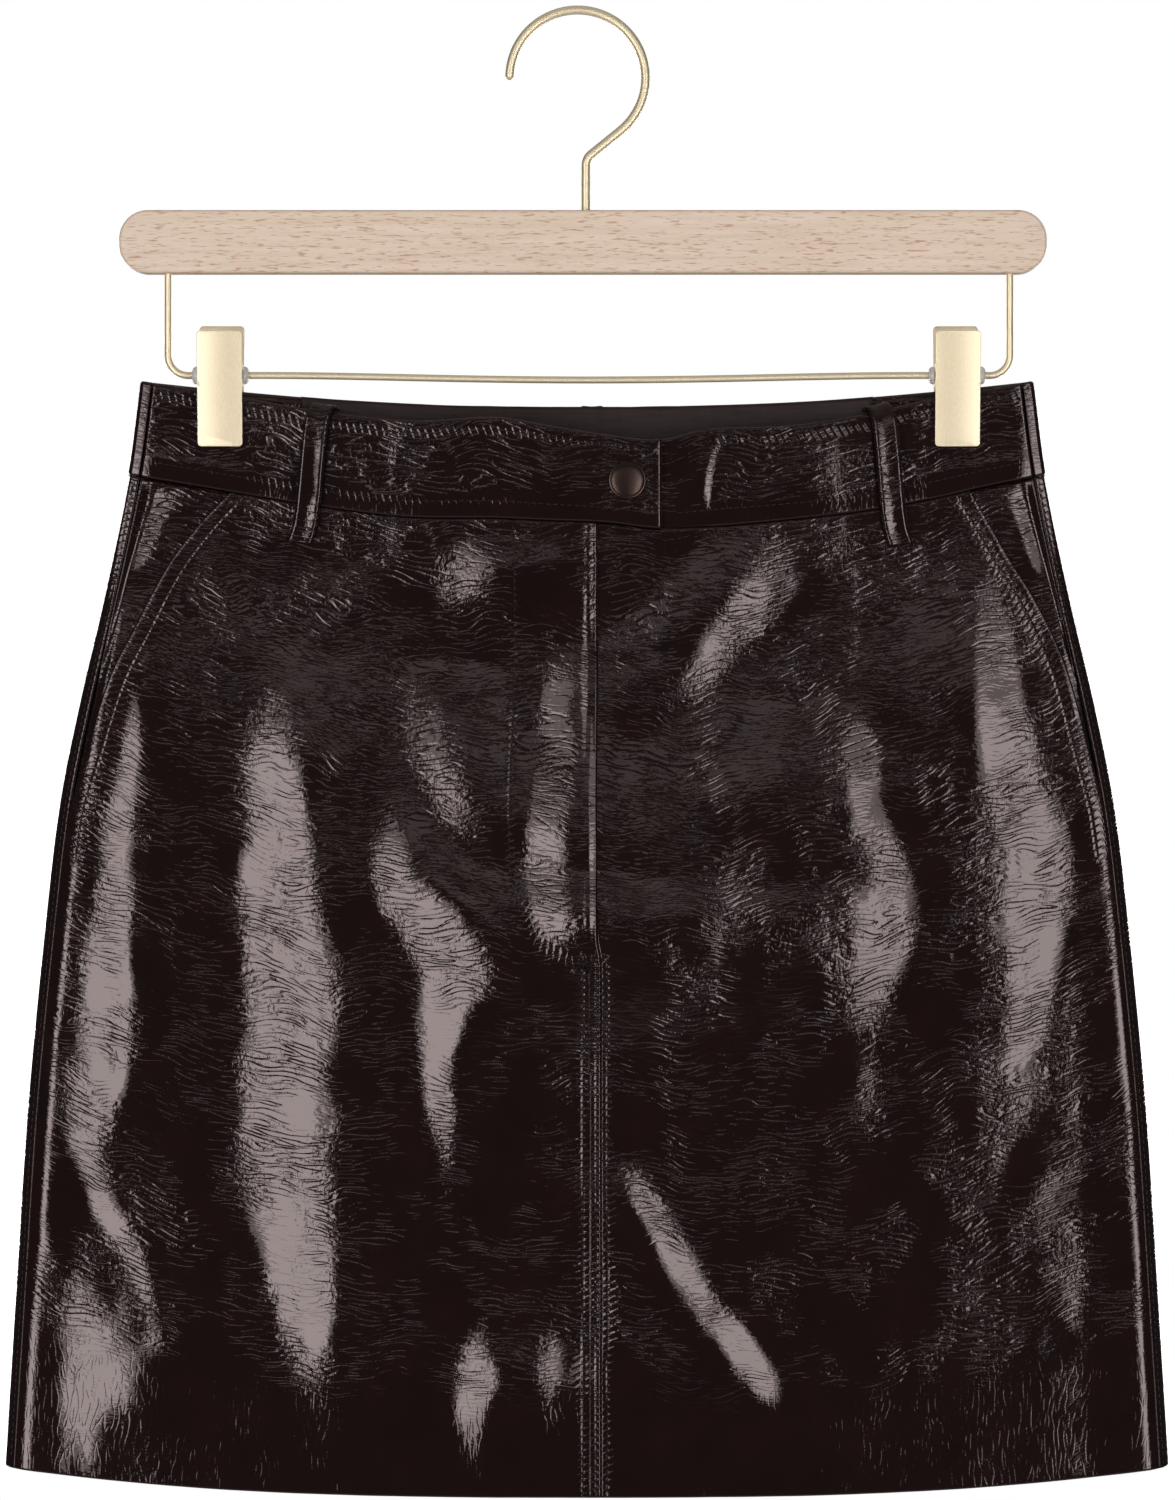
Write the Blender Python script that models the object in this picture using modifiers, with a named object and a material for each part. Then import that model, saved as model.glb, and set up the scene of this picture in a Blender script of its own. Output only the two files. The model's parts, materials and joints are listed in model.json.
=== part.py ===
"""Leather mini skirt held by the clips of a wooden hanger.

Lengths are metres and +Z is up. The front faces -Y. The origin is the inner top of the hanger's
hook, where a rail carries it.
"""

import functools
import math

import bmesh
import bpy
from mathutils import Matrix, Vector

SEAM_GAP = 0.0003  # between neighbouring pieces

# Hook and bar
HOOK_WIRE = 0.0036
HOOK_RADIUS = 0.0272  # of its centreline
HOOK_START = 178.0  # degrees, the free end, counted from +X
HOOK_LEAVES = -51.0  # degrees, where the straight slant to the neck begins
HOOK_NECK_X = 0.0033
HOOK_NECK_BEND = 0.006
HOOK_DEPTH = 0.012  # how far it goes into the bar
BAR_X = 0.0022
BAR_LENGTH = 0.3704
BAR_HEIGHT = 0.0252
BAR_THICKNESS = 0.012
BAR_TOP = -0.0786
BAR_CORNER = 0.0115
BAR_EDGE = 0.0012

# Lower wire and clips
CLIP_WIRE = 0.0028
WIRE_LEFT = -0.1638
WIRE_RIGHT = 0.1729
WIRE_Z = -0.1444
WIRE_BEND = 0.008
WIRE_SAG = 0.0018
WIRE_DEPTH = 0.008
CLIP_PLACES = {"left": -0.1428, "right": 0.1518}
CLIP_WIDTH = 0.018
CLIP_PLATE = 0.0012
CLIP_CORNER = 0.0016
CLIP_TOP = {"front": -0.1270, "back": -0.1240}
CLIP_BOTTOM = -0.1730
JAW_HEIGHT = 0.006
JAW_Y = 0.0033
CLIP_TILT = math.radians(9.5)
EAR_THICKNESS = 0.001
EAR_HEIGHT = 0.009
EAR_REACH = 0.0036  # past the wire's axis
EAR_ROUND = 0.003
SLEEVE_RADIUS = 0.0022
SLEEVE_HEAD = 0.0036
HEAD_WIDTH = 0.002
SPRING_RADIUS = 0.0036
SPRING_LENGTH = 0.011

# Skirt
SKIRT_X = 0.0038
WAIST_Z = -0.1844  # the waist seam at the sides
SIDE_LENGTH = 0.3959
BAND_HEIGHT = 0.0378
LEATHER = 0.0015
HEM_FOLD = 0.036  # height of the double leather at the hem
HEM_LEATHER = 0.0023
BAND_LEATHER = 0.0026
BAND_LIFT = 0.0008  # how far the band stands out from the panels
SIDE_SEAM_IN = 0.0043  # the side seams lie this far towards the front
PANEL_ROWS = 22  # rows of faces from waist to hem
HEM_DIP = {"front": 0.0112, "back": 0.0080}
HEM_POWER = 2.9
BACK_SEAM_DIP = 0.0100
BACK_TOP_DIP = 0.0112
BACK_DIP_POWER = 2.2

# Sections of the flattened tube, by drop below the waist seam.
# columns: drop, half width, radius of the side fold, bulge of the front, bulge of the back
SECTIONS = (
    (-0.0378, 0.1780, 0.0036, 0.0180, 0.0070),
    (0.0000, 0.1831, 0.0040, 0.0130, 0.0060),
    (0.0500, 0.1934, 0.0047, 0.0150, 0.0080),
    (0.0900, 0.2028, 0.0052, 0.0165, 0.0095),
    (0.1300, 0.2108, 0.0056, 0.0180, 0.0110),
    (0.1700, 0.2158, 0.0060, 0.0195, 0.0120),
    (0.2500, 0.2236, 0.0065, 0.0210, 0.0135),
    (0.3300, 0.2288, 0.0068, 0.0220, 0.0145),
    (0.3959, 0.2329, 0.0070, 0.0225, 0.0150),
)
HALF_WIDTH, FOLD_RADIUS, FRONT_BULGE, BACK_BULGE = 1, 2, 3, 4

# How far the front sags below its ends between the clips.
# columns: place across (-1 left edge, 1 right edge), sag of the waist seam, sag of the band's top
FRONT_SAG = (
    (-1.00, 0.0000, 0.0000),
    (-0.89, 0.0034, 0.0032),
    (-0.76, 0.0074, 0.0070),
    (-0.62, 0.0117, 0.0115),
    (-0.40, 0.0169, 0.0160),
    (-0.20, 0.0176, 0.0148),
    (-0.09, 0.0185, 0.0180),
    (0.04, 0.0194, 0.0217),
    (0.16, 0.0218, 0.0236),
    (0.27, 0.0209, 0.0195),
    (0.45, 0.0179, 0.0180),
    (0.62, 0.0141, 0.0134),
    (0.77, 0.0090, 0.0072),
    (0.87, 0.0047, 0.0043),
    (1.00, 0.0000, 0.0000),
)
SEAM_SAG, TOP_SAG = 1, 2

# Soft folds that stand out from a face.
# columns: x and drop of the upper end, x and drop of the lower end, half width, height
FRONT_FOLDS = (
    (-0.112, 0.030, -0.085, 0.350, 0.038, 0.0045),
    (-0.166, 0.040, -0.186, 0.260, 0.020, 0.0022),
    (-0.058, 0.130, -0.042, 0.310, 0.026, 0.0025),
    (0.150, 0.030, 0.162, 0.290, 0.036, 0.0040),
    (0.102, 0.080, 0.100, 0.280, 0.024, 0.0022),
    (0.012, 0.262, 0.085, 0.380, 0.024, 0.0020),
    (0.118, 0.015, 0.012, 0.115, 0.022, 0.0020),
)
BACK_FOLDS = (
    (-0.120, 0.035, -0.095, 0.345, 0.040, 0.0040),
    (0.095, 0.050, 0.118, 0.355, 0.036, 0.0035),
    (-0.030, 0.110, -0.018, 0.365, 0.030, 0.0024),
    (0.150, 0.040, 0.172, 0.265, 0.026, 0.0022),
    (0.040, 0.215, 0.060, 0.390, 0.024, 0.0020),
)
FOLD_END = 0.3  # share of a fold's length over which each end fades
FOLD_CLEAR = 0.014  # the folds die out this close to the sides

# The clips press the two faces together.
CLIP_REACH = 0.1473
PINCH_DEPTH = 0.0020  # from the middle plane to the outer face, at the jaws
PINCH_BELOW = 0.0048  # the same at the waist seam
PINCH_FLAT = 0.0105
PINCH_INWARD = 0.075
PINCH_OUTWARD = 0.016
PINCH_TOP = -0.012
PINCH_DROP = 0.100

# Slanted pocket openings, as a distance in from the side seam.
# columns: drop, left pocket, right pocket
POCKET_LINE = (
    (0.000, 0.0360, 0.0255),
    (0.015, 0.0262, 0.0205),
    (0.031, 0.0183, 0.0154),
    (0.045, 0.0138, 0.0102),
    (0.060, 0.0100, 0.0062),
    (0.075, 0.0062, 0.0038),
    (0.092, 0.0040, 0.0026),
    (0.110, 0.0026, 0.0018),
    (0.134, 0.0000, 0.0000),
)
LEFT_POCKET, RIGHT_POCKET = 1, 2
FACING_DEPTH = 0.0023
FACING_LEATHER = 0.0012
FACING_TUCK = 0.012  # under the front panel
FACING_ROWS = 8
FACING_SINKS = (0.050, 0.085)  # drops between which its side edge goes under too

# Fly and tab, in x from the skirt's middle
FLY_X = 0.0040
CENTRE_SEAM_X = 0.0056
FLY_LENGTH = 0.168
FLY_LAP = 0.008
FLY_SINK = 0.0019
ZIP_DEPTH = 0.0039
ZIP_TAPE = 0.0012
ZIP_HALF = 0.013
ZIP_ROWS = 9
TAB_END_X = 0.0298
UNDERLAP_X = -0.004
UNDERLAP_SINK = 0.0030
UNDERLAP_RISE = 0.018
SNAP_X = 0.0160
SNAP_HEIGHT = 0.51  # share of the band's height
SNAP_RADIUS = 0.0075
SNAP_DOME = 0.0020
SNAP_RIM = 0.0007

BAND_FACING = 0.0010
BAND_FACING_HALF = 0.115

# Belt loops: x at the band's top and at the lower end, and the face that carries them
BELT_LOOPS = {
    "belt_loop_front_left": (-0.1036, -0.1148, "front"),
    "belt_loop_front_right": (0.1146, 0.1252, "front"),
    "belt_loop_back": (0.0020, 0.0020, "back"),
}
LOOP_WIDTH = 0.0098
LOOP_LEATHER = 0.0022
# The loop's middle line. columns: drop from the band's top, lift from the panel's face
LOOP_PATH = (
    (-0.0016, -0.0010),
    (-0.0017, 0.0012),
    (0.0004, 0.0027),
    (0.0060, 0.0042),
    (0.0190, 0.0048),
    (0.0330, 0.0044),
    (0.0430, 0.0026),
    (0.0490, 0.0016),
    (0.0530, 0.0015),
)

# Colours as sRGB, roughness and metallic value
FINISHES = {
    "patent_leather": ((0.105, 0.065, 0.062), 0.22, 0.0),
    "satin": ((0.172, 0.133, 0.129), 0.55, 0.0),
    "zip_tape": ((0.08, 0.06, 0.06), 0.7, 0.0),
    "snap_metal": ((0.20, 0.16, 0.155), 0.35, 1.0),
    "beech": ((0.816, 0.725, 0.659), 0.55, 0.0),
    "pale_brass": ((0.80, 0.72, 0.60), 0.30, 1.0),
    "clear_plastic": ((0.90, 0.89, 0.87), 0.35, 0.0),
}


def smooth(value):
    value = min(max(value, 0.0), 1.0)
    return value * value * (3.0 - 2.0 * value)


def mix(first, second, share):
    return first + (second - first) * share


@functools.lru_cache(maxsize=None)
def read(table, column, key):
    """A column's value at a key, on a smooth curve through the rows, and straight past its ends."""
    keys = [row[0] for row in table]
    values = [row[column] for row in table]
    last = len(table) - 1

    def slope(row):
        before, after = max(row - 1, 0), min(row + 1, last)
        return (values[after] - values[before]) / (keys[after] - keys[before])

    if key <= keys[0]:
        return values[0] + slope(0) * (key - keys[0])
    if key >= keys[last]:
        return values[last] + slope(last) * (key - keys[last])
    row = next(i for i in range(last) if key <= keys[i + 1])
    run = keys[row + 1] - keys[row]
    share = (key - keys[row]) / run
    start = share * (1 - share) ** 2 * run * slope(row)
    end = share**2 * (share - 1) * run * slope(row + 1)
    return mix(values[row], values[row + 1], smooth(share)) + start + end


def half_width(drop):
    return read(SECTIONS, HALF_WIDTH, drop)


def sag(across, drop, face):
    """How far a point lies below the side's level at the same drop."""
    if face == "front":
        seam = read(FRONT_SAG, SEAM_SAG, across)
        top = read(FRONT_SAG, TOP_SAG, across)
    else:
        shape = 1 - abs(across) ** BACK_DIP_POWER
        seam = BACK_SEAM_DIP * shape
        top = BACK_TOP_DIP * shape
    if drop < 0:
        return mix(seam, top, -drop / BAND_HEIGHT)
    hem = HEM_DIP[face] * (1 - abs(across) ** HEM_POWER)
    return mix(seam, hem, drop / SIDE_LENGTH)


def fold_height(x, drop, rows):
    """Height of the soft folds at a place on a face."""
    total = 0.0
    for top_x, top_drop, low_x, low_drop, half, height in rows:
        along = Vector((low_x - top_x, low_drop - top_drop))
        place = Vector((x - top_x, drop - top_drop))
        share = place.dot(along) / along.length_squared
        off = abs(place.cross(along)) / along.length
        ends = smooth(share / FOLD_END) * smooth((1 - share) / FOLD_END)
        total += height * ends * (1 - smooth(off / half))
    return total


def pinch(x, drop):
    """1 where a clip presses the faces together, 0 far from the clips."""
    off = abs(x) - CLIP_REACH
    run = PINCH_INWARD if off < 0 else PINCH_OUTWARD
    across = 1 - smooth((abs(off) - PINCH_FLAT) / run)
    return across * (1 - smooth((drop - PINCH_TOP) / PINCH_DROP))


def skin(turn, drop):
    """Point on the panels' outer face. turn 0 to 1 is the front, left to right, and 1 to 2 the back."""
    across = -math.cos(math.pi * turn)
    face = "front" if math.sin(math.pi * turn) >= 0 else "back"
    half = half_width(drop)
    radius = read(SECTIONS, FOLD_RADIUS, drop)
    inward = half * (1 - abs(across))
    edge = radius if inward >= radius else math.sqrt(max(inward * (2 * radius - inward), 0.0))
    bulge = read(SECTIONS, FRONT_BULGE if face == "front" else BACK_BULGE, drop)
    folds = fold_height(across * half, drop, FRONT_FOLDS if face == "front" else BACK_FOLDS)
    depth = edge + bulge * (1 - across**2) + folds * smooth(inward / FOLD_CLEAR)
    pressed = mix(PINCH_DEPTH, PINCH_BELOW, smooth((drop - PINCH_TOP) / -PINCH_TOP))
    depth = mix(depth, min(depth, pressed), pinch(across * half, drop))
    y = -depth if face == "front" else depth
    return Vector((SKIRT_X + across * half, y, WAIST_Z - drop - sag(across, drop, face)))


@functools.lru_cache(maxsize=None)
def skin_frame(turn, drop):
    """The face's point, and its outward direction there."""
    step_turn, step_drop = 0.002, 0.0005
    along = skin(turn + step_turn, drop) - skin(turn - step_turn, drop)
    down = skin(turn, drop + step_drop) - skin(turn, drop - step_drop)
    return skin(turn, drop), down.cross(along).normalized()


def on_skin(turn, drop, lift=0.0):
    point, outward = skin_frame(turn, drop)
    return point + outward * lift


def turn_at(x, drop, face="front"):
    """The turn at a distance x from the skirt's middle."""
    turn = math.acos(min(max(-x / half_width(drop), -1.0), 1.0)) / math.pi
    return turn if face == "front" else 2 - turn


def side_seam(drop):
    """Distance of the side seams from the skirt's middle."""
    return half_width(drop) - SIDE_SEAM_IN


def pocket_inset(drop, column):
    return max(read(POCKET_LINE, column, drop), 0.0) if drop < POCKET_LINE[-1][0] else 0.0


def centre_line(drop):
    """The fly's edge, and the centre seam below it."""
    return mix(FLY_X, CENTRE_SEAM_X, smooth((drop - FLY_LENGTH) / 0.012))


def panel_drop(row):
    """The drop of a panel's row, which what lies behind it shares."""
    return mix(SEAM_GAP / 2, SIDE_LENGTH, row / PANEL_ROWS)


def leather_at(drop):
    return mix(LEATHER, HEM_LEATHER, smooth((drop - SIDE_LENGTH + HEM_FOLD) / 0.004))


def finish(name):
    """The material of one sub-part."""
    found = bpy.data.materials.get(name)
    if found:
        return found
    colour, roughness, metallic = FINISHES[name]
    material = bpy.data.materials.new(name)
    material.use_nodes = True
    shader = material.node_tree.nodes["Principled BSDF"]
    linear = [(part / 12.92 if part <= 0.04045 else ((part + 0.055) / 1.055) ** 2.4) for part in colour]
    shader.inputs["Base Color"].default_value = (*linear, 1.0)
    shader.inputs["Roughness"].default_value = roughness
    shader.inputs["Metallic"].default_value = metallic
    material.diffuse_color = (*linear, 1.0)
    return material


def add_object(name, mesh_or_bmesh, material):
    """One named sub-part in the parts collection."""
    mesh = mesh_or_bmesh
    if isinstance(mesh_or_bmesh, bmesh.types.BMesh):
        mesh = bpy.data.meshes.new(name)
        mesh_or_bmesh.to_mesh(mesh)
        mesh_or_bmesh.free()
    mesh.materials.append(finish(material))
    mesh.shade_smooth()
    mesh.set_sharp_from_angle(angle=math.radians(35))
    obj = bpy.data.objects.new(name, mesh)
    parts.objects.link(obj)
    return obj


def sheet(name, columns, rows, place, material):
    """A closed wall. place(across, down, inner) gives each point, with across and down from 0 to 1."""
    mesh = bmesh.new()
    bmesh.ops.create_grid(mesh, x_segments=columns, y_segments=rows, size=0.5)
    extruded = bmesh.ops.extrude_face_region(mesh, geom=mesh.faces[:])
    for item in extruded["geom"]:
        if isinstance(item, bmesh.types.BMVert):
            item.co.z = 1.0
    for vert in mesh.verts:
        vert.co = place(vert.co.x + 0.5, 0.5 - vert.co.y, vert.co.z > 0.5)
    bmesh.ops.recalc_face_normals(mesh, faces=mesh.faces[:])
    return add_object(name, mesh, material)


def panel(name, lines, columns, rows, drops, wall, lift=lambda x, drop: 0.0, material="patent_leather"):
    """A piece of the front between lines that give x at a drop, with columns of faces between each."""
    total = sum(columns)

    def line_at(column, drop):
        """x of a column of the grid."""
        for strip, count in enumerate(columns):
            if column <= count + 1e-6:
                return mix(lines[strip](drop), lines[strip + 1](drop), column / count)
            column -= count
        return lines[-1](drop)

    def place(across, down, inner):
        drop = mix(drops[0], drops[1], down)
        x = line_at(across * total, drop)
        return on_skin(turn_at(x, drop), drop, lift(x, drop) - (wall(drop) if inner else 0.0))

    return sheet(name, total, rows, place, material)


def build_front_panels():
    half_gap = SEAM_GAP / 2
    drops = (panel_drop(0), panel_drop(PANEL_ROWS))
    panel(
        "front_left",
        (
            lambda drop: half_gap - side_seam(drop) + pocket_inset(drop, LEFT_POCKET),
            lambda drop: centre_line(drop) - half_gap,
        ),
        (15,),
        PANEL_ROWS,
        drops,
        leather_at,
    )

    def lap_start(drop):
        """The right front runs on behind the fly, and meets the left front below it."""
        lap = FLY_LAP * (1 - smooth((drop - FLY_LENGTH + 0.030) / 0.020))
        return centre_line(drop) + half_gap - lap

    def sink(x, drop):
        across = 1 - smooth((x - centre_line(drop) - half_gap) / FLY_LAP)
        return -FLY_SINK * across * (1 - smooth((drop - FLY_LENGTH + 0.008) / 0.022))

    panel(
        "front_right",
        (
            lap_start,
            lambda drop: lap_start(drop) + FLY_LAP,
            lambda drop: lap_start(drop) + 2 * FLY_LAP,
            lambda drop: side_seam(drop) - half_gap - pocket_inset(drop, RIGHT_POCKET),
        ),
        (1, 2, 13),
        PANEL_ROWS,
        drops,
        leather_at,
        sink,
    )
    panel(
        "fly_zip",
        (lambda drop: FLY_X - ZIP_HALF, lambda drop: FLY_X + ZIP_HALF),
        (3,),
        ZIP_ROWS,
        (panel_drop(0), panel_drop(ZIP_ROWS)),
        lambda drop: ZIP_TAPE,
        lambda x, drop: -ZIP_DEPTH,
        "zip_tape",
    )


def build_back_panel():
    def place(across, down, inner):
        drop = mix(panel_drop(0), panel_drop(PANEL_ROWS), down)
        seam = side_seam(drop) + SEAM_GAP / 2
        turn = mix(turn_at(seam, drop), 2 + turn_at(-seam, drop), across)
        return on_skin(turn, drop, -leather_at(drop) if inner else 0.0)

    sheet("back_panel", 40, PANEL_ROWS, place, "patent_leather")


def build_pocket_facings():
    """The leather seen inside each slanted opening, tucked under the front panel."""
    for name, side, column in (("left", -1, LEFT_POCKET), ("right", 1, RIGHT_POCKET)):

        def edge(drop):
            return side * (side_seam(drop) - SEAM_GAP / 2)

        def opening(drop):
            return side * (side_seam(drop) - SEAM_GAP / 2 - max(pocket_inset(drop, column), 0.002))

        def tuck(drop):
            return opening(drop) - side * FACING_TUCK

        def sink(x, drop):
            share = (edge(drop) - x) / (edge(drop) - opening(drop))
            outer = smooth((drop - FACING_SINKS[0]) / (FACING_SINKS[1] - FACING_SINKS[0]))
            return -FACING_DEPTH * mix(outer, 1.0, smooth(share))

        lines = (edge, opening, tuck) if side < 0 else (tuck, opening, edge)
        panel(
            f"pocket_facing_{name}",
            lines,
            (4, 2) if side < 0 else (2, 4),
            FACING_ROWS,
            (panel_drop(0), panel_drop(FACING_ROWS)),
            lambda drop: FACING_LEATHER,
            sink,
        )


def build_waistbands():
    half_gap = SEAM_GAP / 2
    drops = (-BAND_HEIGHT, -half_gap)
    panel(
        "waistband_front_left",
        (lambda drop: half_gap - side_seam(drop), lambda drop: TAB_END_X),
        (21,),
        3,
        drops,
        lambda drop: BAND_LEATHER,
        lambda x, drop: BAND_LIFT,
    )
    panel(
        "waistband_front_right",
        (
            lambda drop: UNDERLAP_X,
            lambda drop: TAB_END_X + 0.002,
            lambda drop: TAB_END_X + 0.002 + UNDERLAP_RISE,
            lambda drop: side_seam(drop) - half_gap,
        ),
        (3, 3, 13),
        3,
        drops,
        lambda drop: BAND_LEATHER,
        lambda x, drop: BAND_LIFT - UNDERLAP_SINK * (1 - smooth((x - TAB_END_X - 0.002) / UNDERLAP_RISE)),
    )

    def place_back(across, down, inner):
        drop = mix(*drops, down)
        seam = side_seam(drop) + half_gap
        turn = mix(turn_at(seam, drop), 2 + turn_at(-seam, drop), across)
        return on_skin(turn, drop, BAND_LIFT - (BAND_LEATHER if inner else 0.0))

    sheet("waistband_back", 40, 3, place_back, "patent_leather")

    def place_facing(across, down, inner):
        drop = mix(*drops, down)
        x = mix(BAND_FACING_HALF, -BAND_FACING_HALF, across)
        lift = BAND_LIFT - BAND_LEATHER - SEAM_GAP - 0.0001
        return on_skin(turn_at(x, drop, "back"), drop, lift - (BAND_FACING if inner else 0.0))

    sheet("waistband_back_facing", 22, 3, place_facing, "satin")


def build_belt_loops():
    steps = len(LOOP_PATH) - 1
    for name, (top_x, low_x, face) in BELT_LOOPS.items():

        def place(across, down, inner):
            at = down * steps
            row = min(int(at), steps - 1)
            before, after = LOOP_PATH[max(row - 1, 0)], LOOP_PATH[min(row + 2, steps)]
            drop, lift = (mix(LOOP_PATH[row][i], LOOP_PATH[row + 1][i], at - row) for i in (0, 1))
            along = Vector((after[0] - before[0], after[1] - before[1])).normalized()
            side = -LOOP_LEATHER / 2 if inner else LOOP_LEATHER / 2
            drop += -along.y * side - BAND_HEIGHT
            lift += along.x * side
            x = mix(top_x, low_x, down) + (across - 0.5) * LOOP_WIDTH
            return on_skin(turn_at(x, drop, face), drop, lift)

        sheet(name, 2, 2 * steps, place, "patent_leather")


def turned(name, profile, axis, material):
    """A profile turned round an axis. Its points are (along the axis, radius)."""
    mesh = bmesh.new()
    verts = []
    for along, radius in profile:
        verts.append(mesh.verts.new((along, 0.0, radius) if axis == "X" else (radius, 0.0, along)))
    for first, second in zip(verts, verts[1:]):
        mesh.edges.new((first, second))
    if profile[0][1] > 0:
        mesh.edges.new((verts[-1], verts[0]))
    obj = add_object(name, mesh, material)
    screw = obj.modifiers.new("turn", "SCREW")
    screw.axis = axis
    screw.steps = screw.render_steps = 20
    screw.use_merge_vertices = True
    screw.merge_threshold = 0.00001
    screw.use_normal_flip = True
    return obj


def build_snap():
    drop = -SNAP_HEIGHT * BAND_HEIGHT
    point, outward = skin_frame(turn_at(SNAP_X, drop), drop)
    profile = [(0.0, 0.0), (0.0, SNAP_RADIUS), (SNAP_RIM, SNAP_RADIUS)]
    for step in range(1, 6):
        angle = math.radians(90 * step / 5)
        height = mix(SNAP_RIM, SNAP_DOME, math.sin(angle))
        profile.append((height, SNAP_RADIUS * 0.96 * math.cos(angle) if step < 5 else 0.0))
    cap = turned("snap_cap", profile, "Z", "snap_metal")
    cap.location = point + outward * (BAND_LIFT + SEAM_GAP)
    cap.rotation_euler = outward.to_track_quat("Z", "Y").to_euler()


def helper(name, mesh):
    """A hidden object for a Boolean."""
    data = bpy.data.meshes.new(name)
    mesh.to_mesh(data)
    mesh.free()
    obj = bpy.data.objects.new(name, data)
    obj.hide_render = True
    obj.display_type = "WIRE"
    cutters.objects.link(obj)
    return obj


def cutter(name, radius, start, end):
    """A cylinder that bores a hole from one point to another."""
    run = Vector(end) - Vector(start)
    middle = (Vector(start) + Vector(end)) / 2
    turn = run.to_track_quat("Z", "Y").to_matrix().to_4x4()
    mesh = bmesh.new()
    bmesh.ops.create_cone(
        mesh,
        cap_ends=True,
        segments=20,
        radius1=radius,
        radius2=radius,
        depth=run.length,
        matrix=Matrix.Translation(middle) @ turn,
    )
    return helper(name, mesh)


def runs_along(edge, axis):
    """Whether an edge of a straight-sided block runs along the X (0), Y (1) or Z (2) axis."""
    first, second = edge.verts
    return abs(first.co[axis] - second.co[axis]) > 0.001


def boolean(obj, other, operation):
    modifier = obj.modifiers.new(other.name, "BOOLEAN")
    modifier.operation = operation
    modifier.object = other


def build_bar():
    mesh = bmesh.new()
    bmesh.ops.create_cube(mesh, size=1.0)
    middle = Vector((BAR_X, 0.0, BAR_TOP - BAR_HEIGHT / 2))
    size = Vector((BAR_LENGTH, BAR_THICKNESS, BAR_HEIGHT))
    for vert in mesh.verts:
        vert.co = middle + vert.co * size
    corners = [e for e in mesh.edges if runs_along(e, 1)]
    bmesh.ops.bevel(mesh, geom=corners, offset=BAR_CORNER, segments=7, profile=0.5, affect="EDGES")
    bar = add_object("hanger_bar", mesh, "beech")
    edge = bar.modifiers.new("eased_edges", "BEVEL")
    edge.width = BAR_EDGE
    edge.segments = 2
    edge.limit_method = "ANGLE"
    edge.angle_limit = math.radians(60)
    bottom = BAR_TOP - BAR_HEIGHT
    hook_bore = cutter(
        "hook_bore",
        HOOK_WIRE / 2 + SEAM_GAP,
        (HOOK_NECK_X, 0, BAR_TOP + 0.002),
        (HOOK_NECK_X, 0, BAR_TOP - HOOK_DEPTH - SEAM_GAP),
    )
    boolean(bar, hook_bore, "DIFFERENCE")
    for name, x in (("left", WIRE_LEFT), ("right", WIRE_RIGHT)):
        wire_bore = cutter(
            f"wire_bore_{name}",
            CLIP_WIRE / 2 + SEAM_GAP,
            (x, 0, bottom - 0.002),
            (x, 0, bottom + WIRE_DEPTH + SEAM_GAP),
        )
        boolean(bar, wire_bore, "DIFFERENCE")


def wire(name, points, diameter, sides_level):
    """A bent wire through points in the X-Z plane."""
    curve = bpy.data.curves.new(name, "CURVE")
    curve.dimensions = "3D"
    curve.bevel_depth = diameter / 2
    curve.bevel_resolution = sides_level
    curve.use_fill_caps = True
    spline = curve.splines.new("POLY")
    spline.points.add(len(points) - 1)
    for target, (x, z) in zip(spline.points, points):
        target.co = (x, 0.0, z, 1.0)
    curve.materials.append(finish("pale_brass"))
    obj = bpy.data.objects.new(name, curve)
    parts.objects.link(obj)
    return obj


def arc(centre, radius, start, end, count):
    """Points on an arc, with angles in degrees from +X."""
    angles = [math.radians(mix(start, end, step / count)) for step in range(count + 1)]
    return [(centre[0] + radius * math.cos(a), centre[1] + radius * math.sin(a)) for a in angles]


def build_hook():
    centre = (0.0, -(HOOK_RADIUS - HOOK_WIRE / 2))
    points = arc(centre, HOOK_RADIUS, HOOK_START, HOOK_LEAVES, 24)
    slant = math.radians(HOOK_LEAVES - 90)
    heading = (math.cos(slant), math.sin(slant))
    leave_x, leave_z = points[-1]
    corner_z = leave_z + (HOOK_NECK_X - leave_x) * heading[1] / heading[0]
    bend = HOOK_NECK_BEND * math.tan((math.radians(-90) - slant) / 2)
    bend_centre = (HOOK_NECK_X + HOOK_NECK_BEND, corner_z - bend)
    points += arc(bend_centre, HOOK_NECK_BEND, HOOK_LEAVES + 180, 180, 4)
    points.append((HOOK_NECK_X, BAR_TOP - HOOK_DEPTH))
    wire("hook", points, HOOK_WIRE, 3)


def build_clip_wire():
    top = BAR_TOP - BAR_HEIGHT + WIRE_DEPTH
    middle = (CLIP_PLACES["left"] + CLIP_PLACES["right"]) / 2
    reach = (CLIP_PLACES["right"] - CLIP_PLACES["left"]) / 2 - CLIP_WIDTH
    left_bend = (WIRE_LEFT + WIRE_BEND, WIRE_Z + WIRE_BEND)
    right_bend = (WIRE_RIGHT - WIRE_BEND, WIRE_Z + WIRE_BEND)
    points = [(WIRE_LEFT, top)]
    points += arc(left_bend, WIRE_BEND, 180, 270, 5)
    for step in range(13):
        share = mix(-1, 1, step / 12)
        points.append((middle + share * reach, WIRE_Z - WIRE_SAG * (1 - share**2) ** 2))
    points += arc(right_bend, WIRE_BEND, 270, 360, 5)
    points.append((WIRE_RIGHT, top))
    wire("clip_wire", points, CLIP_WIRE, 2)


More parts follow.
